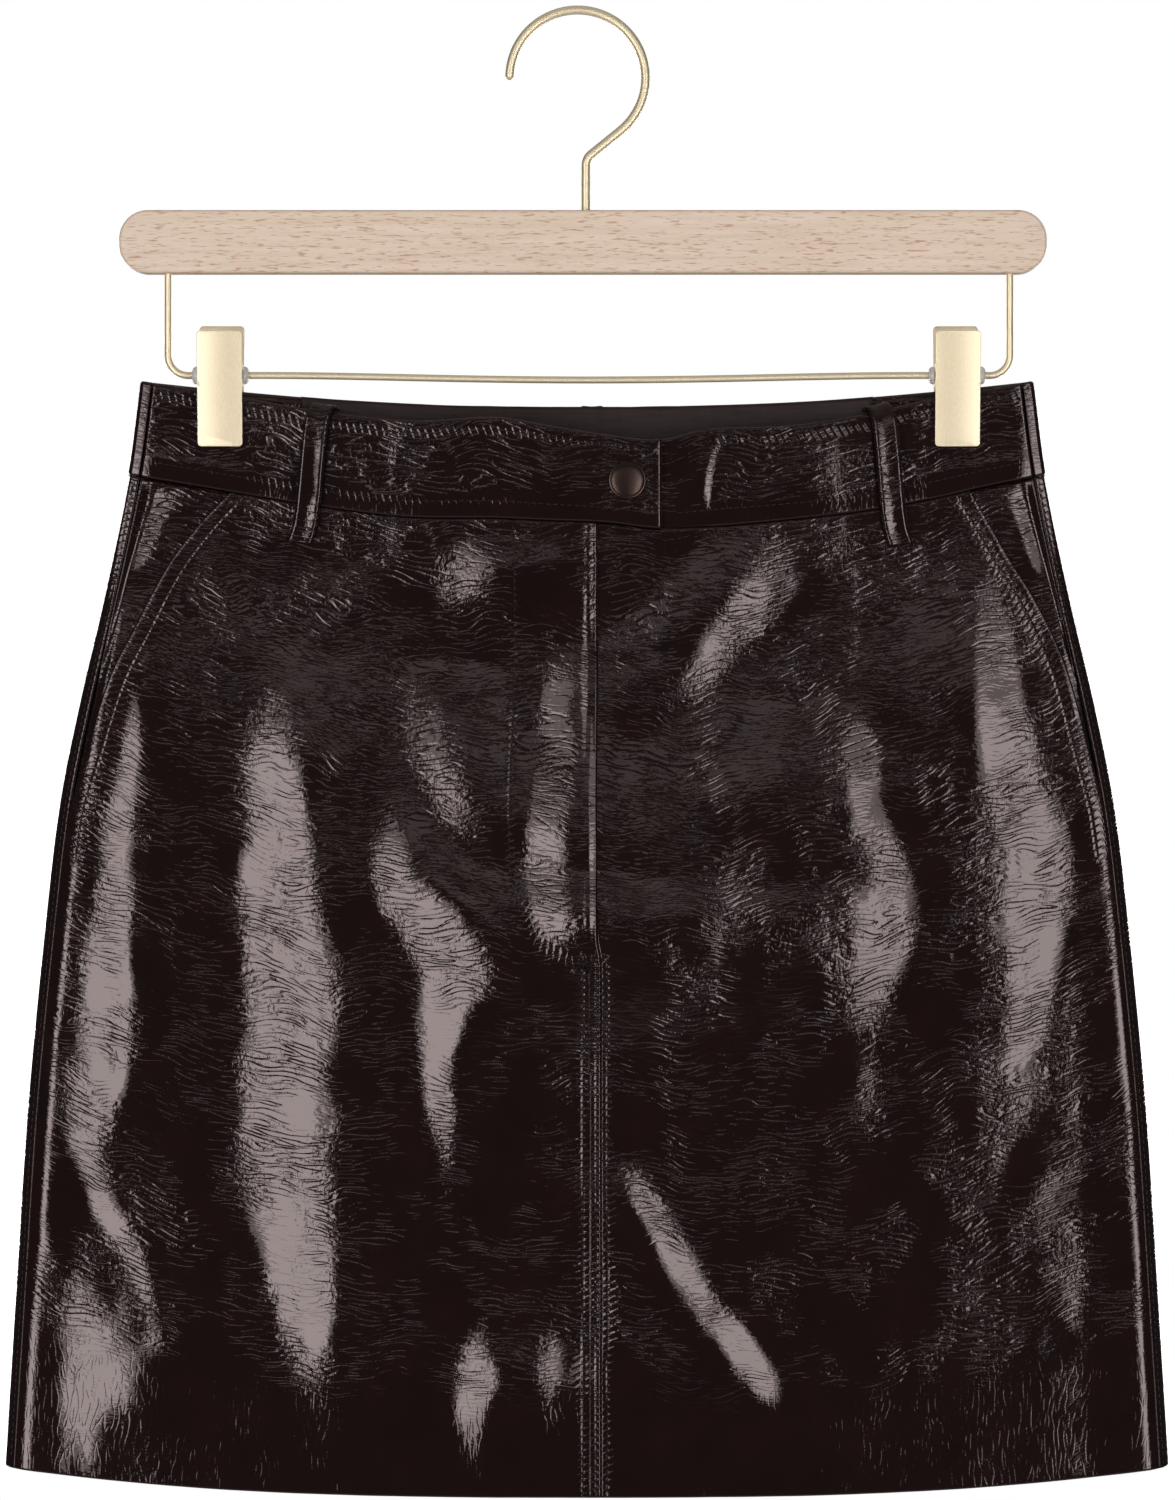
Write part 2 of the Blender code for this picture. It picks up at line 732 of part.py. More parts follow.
def build_plate(side, face):
    """One pressed plate of a clip, with the two ears that the sleeve passes through."""
    x = CLIP_PLACES[side]
    sign = -1 if face == "front" else 1
    top = CLIP_TOP[face]
    bend = CLIP_BOTTOM + JAW_HEIGHT

    def plate_y(z):
        return JAW_Y + max(z - bend, 0.0) * math.tan(CLIP_TILT)

    mesh = bmesh.new()
    bmesh.ops.create_cube(mesh, size=1.0)
    size = Vector((CLIP_WIDTH, CLIP_PLATE, top - CLIP_BOTTOM))
    for vert in mesh.verts:
        vert.co = vert.co * size + Vector((x, 0.0, (top + CLIP_BOTTOM) / 2))
    corners = [e for e in mesh.edges if runs_along(e, 1)]
    bmesh.ops.bevel(mesh, geom=corners, offset=CLIP_CORNER, segments=3, profile=0.5, affect="EDGES")
    cut = mesh.verts[:] + mesh.edges[:] + mesh.faces[:]
    bmesh.ops.bisect_plane(mesh, geom=cut, plane_co=(0, 0, bend), plane_no=(0, 0, 1))
    for vert in mesh.verts:
        vert.co.y = sign * (plate_y(vert.co.z) + CLIP_PLATE / 2 + sign * vert.co.y)
    bmesh.ops.recalc_face_normals(mesh, faces=mesh.faces[:])
    name = f"clip_{side}_{face}"
    plate = add_object(name, mesh, "pale_brass")

    near = plate_y(WIRE_Z - EAR_HEIGHT / 2) + CLIP_PLATE / 2
    inset = 0.0 if face == "front" else EAR_THICKNESS + SEAM_GAP
    for end in (-1, 1):
        ear_x = x + end * (CLIP_WIDTH / 2 - inset - EAR_THICKNESS / 2)
        middle = Vector((ear_x, sign * (near - EAR_REACH) / 2, WIRE_Z))
        size = Vector((EAR_THICKNESS, near + EAR_REACH, EAR_HEIGHT))
        ear = bmesh.new()
        bmesh.ops.create_cube(ear, size=1.0)
        round_off = [e for e in ear.edges if runs_along(e, 0) and e.verts[0].co.y * sign < 0]
        for vert in ear.verts:
            vert.co = middle + vert.co * size
        bmesh.ops.bevel(ear, geom=round_off, offset=EAR_ROUND, segments=3, profile=0.5, affect="EDGES")
        boolean(plate, helper(f"{name}_ear_{end}", ear), "UNION")
    bore_ends = [(x + end * CLIP_WIDTH, 0, WIRE_Z) for end in (-1, 1)]
    boolean(plate, cutter(f"{name}_bore", SLEEVE_RADIUS + SEAM_GAP, *bore_ends), "DIFFERENCE")


def build_clips():
    for side, x in CLIP_PLACES.items():
        for face in ("front", "back"):
            build_plate(side, face)
        bore = CLIP_WIRE / 2 + SEAM_GAP
        inner = CLIP_WIDTH / 2 + SEAM_GAP
        outer = inner + HEAD_WIDTH
        sleeve = turned(
            f"clip_sleeve_{side}",
            (
                (-outer, bore),
                (-outer, SLEEVE_HEAD * 0.75),
                (-inner - HEAD_WIDTH * 0.5, SLEEVE_HEAD),
                (-inner, SLEEVE_HEAD),
                (-inner, SLEEVE_RADIUS),
                (inner, SLEEVE_RADIUS),
                (inner, SLEEVE_HEAD),
                (inner + HEAD_WIDTH * 0.5, SLEEVE_HEAD),
                (outer, SLEEVE_HEAD * 0.75),
                (outer, bore),
            ),
            "X",
            "clear_plastic",
        )
        sleeve.location = (x, 0.0, WIRE_Z)
        half = SPRING_LENGTH / 2
        inside = SLEEVE_RADIUS + SEAM_GAP
        spring = turned(
            f"clip_spring_{side}",
            ((-half, inside), (-half, SPRING_RADIUS), (half, SPRING_RADIUS), (half, inside)),
            "X",
            "pale_brass",
        )
        spring.location = (x, 0.0, WIRE_Z)


for old in list(bpy.data.objects):
    bpy.data.objects.remove(old)
parts = bpy.data.collections.new("leather_mini_skirt_on_clip_hanger")
cutters = bpy.data.collections.new("cutters")
bpy.context.scene.collection.children.link(parts)
bpy.context.scene.collection.children.link(cutters)

build_front_panels()
build_back_panel()
build_pocket_facings()
build_waistbands()
build_belt_loops()
build_snap()
build_bar()
build_hook()
build_clip_wire()
build_clips()
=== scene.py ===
"""Looks of the leather mini skirt and its clip hanger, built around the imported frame.

Lengths are metres, +Z is up and the skirt's front faces -Y. The origin is the inner top of the hook.
"""

import json
import math

import bmesh
import bpy
import numpy as np
from mathutils import Matrix, Vector

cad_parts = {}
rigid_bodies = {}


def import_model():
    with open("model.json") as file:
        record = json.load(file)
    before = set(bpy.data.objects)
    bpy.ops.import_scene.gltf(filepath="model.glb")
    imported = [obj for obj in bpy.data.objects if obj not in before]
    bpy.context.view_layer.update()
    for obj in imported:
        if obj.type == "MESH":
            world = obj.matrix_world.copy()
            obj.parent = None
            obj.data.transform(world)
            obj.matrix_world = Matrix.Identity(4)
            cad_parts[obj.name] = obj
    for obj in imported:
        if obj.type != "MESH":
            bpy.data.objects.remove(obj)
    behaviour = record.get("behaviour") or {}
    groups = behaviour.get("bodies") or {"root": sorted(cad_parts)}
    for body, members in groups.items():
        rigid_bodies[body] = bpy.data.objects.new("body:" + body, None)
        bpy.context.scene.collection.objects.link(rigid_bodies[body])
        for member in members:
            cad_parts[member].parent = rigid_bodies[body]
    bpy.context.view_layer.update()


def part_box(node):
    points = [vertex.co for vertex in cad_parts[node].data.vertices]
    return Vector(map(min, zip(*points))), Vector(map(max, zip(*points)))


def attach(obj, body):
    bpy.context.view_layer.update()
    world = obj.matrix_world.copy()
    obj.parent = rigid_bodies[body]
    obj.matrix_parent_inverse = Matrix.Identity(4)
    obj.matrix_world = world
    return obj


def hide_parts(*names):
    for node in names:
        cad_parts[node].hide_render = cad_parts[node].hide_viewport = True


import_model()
for leftover in [item for item in bpy.data.objects if item.name in ("Cube", "Light", "Camera")]:
    bpy.data.objects.remove(leftover)


# --- Camera -----------------------------------------------------------------------------------
# A long lens at the height of the skirt's middle, square to its front.

FRAME_HEIGHT = 0.600
CAMERA_DISTANCE = 2.6
CAMERA_X = 0.004
CAMERA_Z = -0.2942

lens = bpy.data.cameras.new("camera")
lens.sensor_width = 36.0
lens.lens = lens.sensor_width * CAMERA_DISTANCE / FRAME_HEIGHT
camera = bpy.data.objects.new("camera", lens)
camera.location = (CAMERA_X, -CAMERA_DISTANCE, CAMERA_Z)
camera.rotation_euler = (math.radians(90), 0, 0)
bpy.context.scene.collection.objects.link(camera)
bpy.context.scene.camera = camera


# --- Hanger bar -------------------------------------------------------------------------------
# Beech, planed, rounded at both ends and eased along its edges, under a satin lacquer. The figure
# is quarter-sawn: short dark ray flecks along a very even, faint grain.

BAR_END_RADIUS = 0.0115
BAR_EASE = 0.0014


def linear(hex_colour):
    """An sRGB hex colour as linear RGBA."""
    parts = [int(hex_colour[i : i + 2], 16) / 255 for i in (1, 3, 5)]
    return [p / 12.92 if p <= 0.04045 else ((p + 0.055) / 1.055) ** 2.4 for p in parts] + [1.0]


def add_node(material, kind, inputs=(), stops=(), **settings):
    """A new node with its settings. inputs are (socket, value or output to link) pairs.

    stops are a colour ramp's (position, hex colour or grey) pairs.
    """
    made = material.node_tree.nodes.new("ShaderNode" + kind)
    for name, value in settings.items():
        setattr(made, name, value)
    for name, value in inputs:
        if isinstance(value, bpy.types.NodeSocket):
            material.node_tree.links.new(value, made.inputs[name])
        else:
            made.inputs[name].default_value = value
    for extra in stops[2:]:
        made.color_ramp.elements.new(extra[0])
    for element, (place, colour) in zip(made.color_ramp.elements if stops else (), stops):
        element.position = place
        element.color = linear(colour) if isinstance(colour, str) else (colour, colour, colour, 1.0)
    return made.outputs[0]


def new_material(name):
    material = bpy.data.materials.new(name)
    material.use_nodes = True
    return material, material.node_tree.nodes["Principled BSDF"]


def dress(material, shader, settings):
    """Sets or links the inputs of a material's surface shader."""
    for name, value in settings.items():
        if isinstance(value, bpy.types.NodeSocket):
            material.node_tree.links.new(value, shader.inputs[name])
        else:
            shader.inputs[name].default_value = value


def finish_piece(mesh_or_bmesh, name, material, slot, *nodes):
    """A finished piece from its mesh. It rides on the body and stands for the CAD nodes named."""
    mesh = mesh_or_bmesh
    if isinstance(mesh_or_bmesh, bmesh.types.BMesh):
        mesh = bpy.data.meshes.new(name)
        mesh_or_bmesh.to_mesh(mesh)
        mesh_or_bmesh.free()
    mesh.materials.append(material)
    piece = bpy.data.objects.new(name, mesh)
    bpy.context.scene.collection.objects.link(piece)
    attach(piece, "root")
    if nodes:
        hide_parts(*nodes)
    return piece


beech, shader = new_material("lacquered_beech")
place = add_node(beech, "TexCoord").node.outputs["Object"]
# Ray flecks are 2 to 6 mm long and about half a millimetre high.
flecks = add_node(beech, "Mapping", [("Vector", place), ("Scale", (230, 900, 1700))])
flecks = add_node(beech, "TexNoise", [("Vector", flecks), ("Scale", 1.0), ("Detail", 1.5)])
flecks = add_node(beech, "ValToRGB", [("Fac", flecks)], ((0.56, 0.0), (0.72, 1.0)))
grain = add_node(beech, "Mapping", [("Vector", place), ("Scale", (18, 200, 330))])
grain = add_node(
    beech, "TexNoise", [("Vector", grain), ("Scale", 1.0), ("Detail", 5.0), ("Distortion", 0.6)]
)
wood = add_node(
    beech, "ValToRGB", [("Fac", grain)], ((0.25, "#CCB39E"), (0.5, "#D4BDAA"), (0.75, "#DAC4B3"))
)
wood = [("Factor", flecks), (6, wood), (7, linear("#D5BDA8"))]
wood = add_node(beech, "Mix", wood, data_type="RGBA", blend_type="MULTIPLY").node.outputs[2]
wood_bump = add_node(beech, "Bump", [("Height", grain), ("Strength", 0.25), ("Distance", 0.0002)])
dress(
    beech,
    shader,
    {
        "Base Color": wood,
        "Normal": wood_bump,
        "Roughness": 0.45,
        "Coat Weight": 0.15,
        "Coat Roughness": 0.35,
    },
)

low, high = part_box("hanger_bar")
bar_mesh = bmesh.new()
bmesh.ops.create_cube(bar_mesh, size=1.0)
bmesh.ops.scale(bar_mesh, vec=high - low, verts=bar_mesh.verts)
bmesh.ops.translate(bar_mesh, vec=(low + high) / 2, verts=bar_mesh.verts)
upright = [e for e in bar_mesh.edges if abs(e.verts[0].co.y - e.verts[1].co.y) > BAR_EASE]
bmesh.ops.bevel(
    bar_mesh, geom=upright, offset=BAR_END_RADIUS, segments=16, profile=0.5, affect="EDGES", material=-1
)
rims = [e for e in bar_mesh.edges if len(e.link_faces) == 2 and e.calc_face_angle() > math.radians(60)]
bmesh.ops.bevel(bar_mesh, geom=rims, offset=BAR_EASE, segments=4, profile=0.5, affect="EDGES", material=-1)
for face in bar_mesh.faces:
    face.smooth = True
bar = finish_piece(bar_mesh, "beech_bar", beech, "beech", "hanger_bar")
weighted = bar.modifiers.new("even_shading", "WEIGHTED_NORMAL")
weighted.keep_sharp = True


# --- Hook and clip wire -----------------------------------------------------------------------
# Drawn steel wire plated in pale brass and brushed along its length. The hook is bent to an open
# circle and goes into the bar; the lower wire is pushed into two holes under the bar's ends.

HOOK_WIRE = 0.0036
HOOK_RADIUS = 0.0272
HOOK_TIP_DEGREES = 178
HOOK_LEAVES_DEGREES = -51
HOOK_NECK_X = 0.0033
HOOK_NECK_BEND = 0.006
HOOK_GOES_IN = 0.010
CLIP_WIRE = 0.0028
WIRE_LEFT, WIRE_RIGHT = -0.1638, 0.1729
WIRE_Z = -0.1444
WIRE_BEND = 0.008
WIRE_SAG = 0.0018
CLIP_X = {"left": -0.1428, "right": 0.1518}
CLIP_WIDTH = 0.018

brass, shader = new_material("brushed_pale_brass")
place = add_node(brass, "TexCoord").node.outputs["Object"]
# Brushing lines run up and down the plates, about a tenth of a millimetre apart, drawn at 0.25 mm.
brushing = add_node(brass, "Mapping", [("Vector", place), ("Scale", (4000, 4000, 60))])
brushing = add_node(
    brass, "TexNoise", [("Vector", brushing), ("Scale", 1.0), ("Detail", 2.0), ("Roughness", 0.6)]
)
tone = add_node(brass, "ValToRGB", [("Fac", brushing)], ((0.3, "#E4D2B0"), (0.7, "#F1E2C5")))
shine = add_node(brass, "ValToRGB", [("Fac", brushing)], ((0.3, 0.40), (0.7, 0.52)))
brass_bump = add_node(brass, "Bump", [("Height", brushing), ("Strength", 0.35), ("Distance", 0.00005)])
dress(brass, shader, {"Base Color": tone, "Roughness": shine, "Normal": brass_bump, "Metallic": 0.8})


def arc(centre_x, centre_z, radius, start, end, count):
    """Points on an arc in the X-Z plane, with angles in degrees from +X."""
    angles = np.radians(np.linspace(start, end, count))
    return [(centre_x + radius * math.cos(a), 0.0, centre_z + radius * math.sin(a)) for a in angles]


def round_wire(name, points, diameter, sides, material, slot, *nodes, tip=False):
    """A bent wire through points. A tip end is rounded off."""
    curve = bpy.data.curves.new(name, "CURVE")
    curve.dimensions = "3D"
    curve.bevel_depth = diameter / 2
    curve.bevel_resolution = sides
    curve.use_fill_caps = True
    spline = curve.splines.new("POLY")
    sizes = [1.0] * len(points)
    if tip:
        start, towards = Vector(points[0]), (Vector(points[0]) - Vector(points[1])).normalized()
        rounds = (0.0, 0.2, 0.45, 0.7, 0.88, 0.97)
        points = [tuple(start + towards * r * diameter / 2) for r in reversed(rounds)] + points[1:]
        sizes = [math.sqrt(1 - r * r) for r in reversed(rounds)] + sizes[1:]
    spline.points.add(len(points) - 1)
    for target, point, size in zip(spline.points, points, sizes):
        target.co = (*point, 1.0)
        target.radius = size
    holder = bpy.data.objects.new(name, curve)
    bpy.context.scene.collection.objects.link(holder)
    bpy.context.view_layer.update()
    mesh = bpy.data.meshes.new_from_object(holder.evaluated_get(bpy.context.evaluated_depsgraph_get()))
    bpy.data.objects.remove(holder)
    mesh.materials.clear()
    mesh.shade_smooth()
    return finish_piece(mesh, name, material, slot, *nodes)


bar_low, bar_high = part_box("hanger_bar")
hook_centre = -(HOOK_RADIUS - HOOK_WIRE / 2)
hook_path = arc(0.0, hook_centre, HOOK_RADIUS, HOOK_TIP_DEGREES, HOOK_LEAVES_DEGREES, 56)
slant = math.radians(HOOK_LEAVES_DEGREES - 90)
leave_x, _, leave_z = hook_path[-1]
corner_z = leave_z + (HOOK_NECK_X - leave_x) * math.tan(slant)
bend_drop = HOOK_NECK_BEND * math.tan((math.radians(-90) - slant) / 2)
hook_path += arc(
    HOOK_NECK_X + HOOK_NECK_BEND, corner_z - bend_drop, HOOK_NECK_BEND, HOOK_LEAVES_DEGREES + 180, 180, 12
)
hook_path.append((HOOK_NECK_X, 0.0, bar_high.z - HOOK_GOES_IN))
round_wire("brass_hook", hook_path, HOOK_WIRE, 7, brass, "pale_brass", "hook", tip=True)

wire_middle = (CLIP_X["left"] + CLIP_X["right"]) / 2
wire_reach = (CLIP_X["right"] - CLIP_X["left"]) / 2 - CLIP_WIDTH
wire_top = bar_low.z + 0.006
wire_path = [(WIRE_LEFT, 0.0, wire_top)]
wire_path += arc(WIRE_LEFT + WIRE_BEND, WIRE_Z + WIRE_BEND, WIRE_BEND, 180, 270, 14)
for share in np.linspace(-1, 1, 25):
    wire_path.append((wire_middle + share * wire_reach, 0.0, WIRE_Z - WIRE_SAG * (1 - share**2) ** 2))
wire_path += arc(WIRE_RIGHT - WIRE_BEND, WIRE_Z + WIRE_BEND, WIRE_BEND, 270, 360, 14)
wire_path.append((WIRE_RIGHT, 0.0, wire_top))
round_wire("brass_clip_wire", wire_path, CLIP_WIRE, 6, brass, "pale_brass", "clip_wire")


# --- Clips ------------------------------------------------------------------------------------
# Two pressed brass-plated plates for each clip, their ears on a milky plastic sleeve that slides on
# the wire, with a coil spring between the ears that closes the jaws at the bottom.

PLATE = 0.0012
PLATE_CORNER = 0.0016
PLATE_TOP = {"front": -0.1270, "back": -0.1240}
PLATE_BOTTOM = -0.1730
JAW_HEIGHT = 0.006
JAW_Y = 0.0033
CLIP_TILT = math.radians(9.5)
EAR = 0.001
EAR_HEIGHT = 0.009
EAR_PAST_WIRE = 0.0036
SLEEVE_RADIUS = 0.0022
SLEEVE_HEAD = 0.0036
SPRING_WIRE = 0.0009
SPRING_TURNS = 9

milky_plastic, shader = new_material("milky_polypropylene")
place = add_node(milky_plastic, "TexCoord").node.outputs["Object"]
cloud = add_node(milky_plastic, "TexNoise", [("Vector", place), ("Scale", 600.0), ("Detail", 2.0)])
cloud = add_node(milky_plastic, "ValToRGB", [("Fac", cloud)], ((0.3, "#DCD9D3"), (0.7, "#EDEBE6")))
dress(milky_plastic, shader, {"Base Color": cloud, "Roughness": 0.35, "Transmission Weight": 0.35})


def box_into(mesh, corner, opposite):
    """Adds a block between two corners to a bmesh, and gives its edges."""
    made = bmesh.ops.create_cube(mesh, size=1.0)["verts"]
    low, high = Vector(corner), Vector(opposite)
    bmesh.ops.scale(mesh, vec=high - low, verts=made)
    bmesh.ops.translate(mesh, vec=(low + high) / 2, verts=made)
    return made


def plate_y(z):
    return JAW_Y + max(z - PLATE_BOTTOM - JAW_HEIGHT, 0.0) * math.tan(CLIP_TILT)


for side, x in CLIP_X.items():
    for face in ("front", "back"):
        sign = -1 if face == "front" else 1
        plate = bmesh.new()
        box_into(
            plate, (x - CLIP_WIDTH / 2, 0.0, PLATE_BOTTOM), (x + CLIP_WIDTH / 2, PLATE, PLATE_TOP[face])
        )
        corners = [e for e in plate.edges if abs(e.verts[0].co.y - e.verts[1].co.y) > PLATE / 2]
        bmesh.ops.bevel(
            plate, geom=corners, offset=PLATE_CORNER, segments=6, profile=0.5, affect="EDGES", material=-1
        )
        rims = [e for e in plate.edges if e.calc_face_angle() > math.radians(60)]
        bmesh.ops.bevel(
            plate, geom=rims, offset=0.0003, segments=3, profile=0.5, affect="EDGES", material=-1
        )
        for share in (-0.3, 0.3):
            cut = plate.verts[:] + plate.edges[:] + plate.faces[:]
            bend_z = PLATE_BOTTOM + JAW_HEIGHT + share * 0.002
            bmesh.ops.bisect_plane(plate, geom=cut, plane_co=(0, 0, bend_z), plane_no=(0, 0, 1))
        for vert in plate.verts:
            vert.co.y = sign * (plate_y(vert.co.z) + vert.co.y)
        inset = 0.0 if face == "front" else EAR + 0.0003
        for end in (-1, 1):
            outer = x + end * (CLIP_WIDTH / 2 - inset)
            ear = bmesh.new()
            box_into(
                ear,
                (min(outer, outer - end * EAR), -EAR_PAST_WIRE, WIRE_Z - EAR_HEIGHT / 2),
                (max(outer, outer - end * EAR), plate_y(WIRE_Z) + PLATE * 0.6, WIRE_Z + EAR_HEIGHT / 2),
            )
            round_off = [
                e
                for e in ear.edges
                if abs(e.verts[0].co.x - e.verts[1].co.x) > EAR / 2 and e.verts[0].co.y < 0
            ]
            bmesh.ops.bevel(
                ear, geom=round_off, offset=0.003, segments=6, profile=0.5, affect="EDGES", material=-1
            )
            bmesh.ops.scale(ear, vec=(1, sign, 1), verts=ear.verts)
            ear_mesh = bpy.data.meshes.new("ear")
            ear.to_mesh(ear_mesh)
            ear.free()
            plate.from_mesh(ear_mesh)
            bpy.data.meshes.remove(ear_mesh)
        bmesh.ops.recalc_face_normals(plate, faces=plate.faces)
        for facet in plate.faces:
            facet.smooth = True
        piece = finish_piece(plate, f"clip_plate_{side}_{face}", brass, "pale_brass", f"clip_{side}_{face}")
        piece.data.set_sharp_from_angle(angle=math.radians(35))

    inner = CLIP_WIDTH / 2 + 0.0003
    profile = [(inner + 0.0020, CLIP_WIRE / 2), (inner + 0.0020, SLEEVE_HEAD * 0.55)]
    for angle in np.radians(np.linspace(15, 90, 6)):
        profile.append((inner + 0.0020 * math.cos(angle), SLEEVE_HEAD * (0.55 + 0.45 * math.sin(angle))))
    profile += [(inner, SLEEVE_HEAD), (inner, SLEEVE_RADIUS)]
    profile += [(-along, radius) for along, radius in reversed(profile)]
    sleeve = bmesh.new()
    ring = [sleeve.verts.new((x + along, 0.0, WIRE_Z + radius)) for along, radius in profile]
    edges = [sleeve.edges.new(pair) for pair in zip(ring, ring[1:] + ring[:1])]
    bmesh.ops.spin(
        sleeve,
        geom=ring + edges,
        cent=(x, 0, WIRE_Z),
        axis=(1, 0, 0),
        angle=math.tau,
        steps=32,
        use_merge=True,
    )
    bmesh.ops.recalc_face_normals(sleeve, faces=sleeve.faces)
    for facet in sleeve.faces:
        facet.smooth = True
    piece = finish_piece(sleeve, f"sleeve_{side}", milky_plastic, "clear_plastic", f"clip_sleeve_{side}")
    piece.data.set_sharp_from_angle(angle=math.radians(35))

    coil = []
    for step in range(SPRING_TURNS * 16 + 1):
        angle = math.tau * step / 16
        along = (step / (SPRING_TURNS * 16) - 0.5) * 0.0115
        radius = 0.0031
        coil.append((x + along, radius * math.sin(angle), WIRE_Z + radius * math.cos(angle)))
    round_wire(f"spring_{side}", coil, SPRING_WIRE, 2, brass, "pale_brass", f"clip_spring_{side}")


# --- The skirt's form -------------------------------------------------------------------------
# A flattened tube of leather, its two faces held together at the clips and hanging open below. The
# leather is stiff, so it hangs in long soft ridges under the waist seam, with shallow dents between.

SKIRT_X = 0.0038
WAIST_Z = -0.1844
SIDE_LENGTH = 0.3959
BAND_HEIGHT = 0.0378
SIDE_SEAM_IN = 0.0043
HEM_DIP = {"front": 0.0112, "back": 0.0080}
HEM_POWER = 2.9
PANEL_BULGE = 0.44
BAND_RISE, RISE_POWER, RISE_ROUND = 0.0110, 0.85, 0.015
BAND_THIN = 0.0024

# columns: drop, half width, radius of the side fold, bulge of the front, bulge of the back
SECTIONS = np.array(
    (
        (-0.0378, 0.1780, 0.0036, 0.0180, 0.0070),
        (0.0000, 0.1831, 0.0040, 0.0130, 0.0060),
        (0.0500, 0.1934, 0.0047, 0.0150, 0.0080),
        (0.0900, 0.2028, 0.0052, 0.0165, 0.0095),
        (0.1300, 0.2108, 0.0056, 0.0180, 0.0110),
        (0.1700, 0.2158, 0.0060, 0.0195, 0.0120),
        (0.2500, 0.2236, 0.0065, 0.0210, 0.0135),
        (0.3300, 0.2288, 0.0068, 0.0220, 0.0145),
        (0.3959, 0.2329, 0.0070, 0.0225, 0.0150),
    )
)
# columns: place across, sag of the waist seam, sag of the band's top
FRONT_SAG = np.array(
    (
        (-1.00, 0.0000, 0.0000),
        (-0.89, 0.0034, 0.0032),
        (-0.76, 0.0074, 0.0070),
        (-0.62, 0.0117, 0.0115),
        (-0.40, 0.0169, 0.0160),
        (-0.20, 0.0176, 0.0148),
        (-0.09, 0.0185, 0.0180),
        (0.04, 0.0194, 0.0217),
        (0.16, 0.0218, 0.0236),
        (0.27, 0.0209, 0.0195),
        (0.45, 0.0179, 0.0180),
        (0.62, 0.0141, 0.0134),
        (0.77, 0.0090, 0.0072),
        (0.87, 0.0047, 0.0043),
        (1.00, 0.0000, 0.0000),
    )
)
# How the faces curve back towards the side folds.
# columns: drop, depth and width of the curve on the left, on the right
SIDE_ROLLS = np.array(
    (
        (-0.038, 0.0010, 0.014, 0.0010, 0.014),
        (0.000, 0.0010, 0.014, 0.0015, 0.014),
        (0.060, 0.0003, 0.014, 0.0012, 0.014),
        (0.146, 0.0002, 0.014, 0.0006, 0.014),
        (0.242, 0.0002, 0.014, 0.0005, 0.014),
        (0.314, 0.0003, 0.014, 0.0005, 0.014),
        (0.396, 0.0003, 0.014, 0.0005, 0.014),
    )
)
# Ridges down the front, set out on a grid of 0.4 mm squares. Each has a flank that faces a lamp and
# one that faces away. The lit flank's lean is given as a share: 1 where it faces its lamp fully.
GRID = 0.4
WAIST_ROW, MIDDLE_COLUMN = 495, 587
# aim across its lamp, then columns: row, left and right edge of the lit flank, width of the other, share
LIT_ON_LEFT = (
    (1.0, (
        (640, 134, 154, 90, 0.0), (720, 122, 150, 95, 0.6), (760, 116, 147, 95, 0.9),
        (800, 106, 142, 100, 1), (840, 98, 140, 105, 1), (880, 94, 138, 105, 1),
        (920, 86, 137, 110, 1), (960, 78, 138, 110, 1), (1000, 70, 140, 110, 1),
        (1040, 68, 138, 110, 1), (1080, 62, 132, 110, 1), (1120, 60, 116, 120, 1),
        (1160, 64, 108, 120, 1), (1200, 76, 120, 110, 1), (1240, 104, 140, 100, 1),
        (1280, 130, 156, 90, 1), (1320, 142, 166, 80, 0.8), (1360, 150, 175, 80, 0.0),
    )),
    (0.9, (
        (1230, 40, 62, 200, 0.0), (1280, 38, 86, 200, 0.8), (1320, 38, 124, 220, 1),
        (1360, 40, 156, 240, 1), (1400, 42, 150, 240, 1), (1440, 44, 126, 240, 0.5),
        (1480, 44, 110, 240, 0.0),
    )),
    (1.12, (
        (640, 262, 290, 160, 0.0), (700, 254, 308, 200, 0.4), (760, 246, 318, 240, 0.9),
        (830, 238, 326, 260, 1), (900, 236, 340, 260, 1), (960, 234, 350, 260, 1),
        (1100, 230, 348, 260, 1), (1200, 236, 346, 240, 1), (1260, 250, 342, 220, 1),
        (1320, 268, 344, 200, 0.9), (1400, 285, 350, 180, 0.5), (1470, 300, 350, 160, 0.0),
    )),
    (1.08, (
        (710, 384, 420, 300, 0.0), (780, 370, 418, 340, 0.45), (845, 362, 436, 420, 0.85),
        (885, 366, 474, 470, 1), (925, 382, 506, 480, 1), (960, 398, 514, 470, 1),
        (1000, 400, 490, 430, 1), (1040, 408, 466, 340, 1), (1090, 416, 470, 300, 1),
        (1150, 430, 466, 260, 0.5), (1230, 440, 462, 220, 0.0),
    )),
    (0.78, (
        (640, 395, 440, 110, 0.0), (720, 396, 470, 120, 1), (790, 420, 500, 120, 1),
        (850, 455, 515, 110, 0.5), (900, 480, 520, 100, 0.0),
    )),
    (1.02, (
        (620, 530, 585, 240, 0.0), (720, 520, 587, 320, 0.75), (800, 512, 588, 480, 1),
        (860, 510, 590, 520, 1), (900, 514, 590, 520, 1), (945, 530, 590, 460, 0.5),
        (1010, 552, 590, 340, 0.0),
    )),
    (0.98, (
        (1270, 480, 520, 100, 0.0), (1320, 452, 500, 110, 0.8), (1360, 442, 512, 120, 1),
        (1400, 446, 500, 110, 1), (1450, 455, 490, 100, 0.3), (1480, 455, 490, 100, 0.0),
    )),
    (0.8, (
        (515, 430, 496, 90, 0.0), (540, 434, 506, 90, 1), (565, 432, 500, 90, 1),
        (592, 430, 490, 90, 0.0),
    )),
)
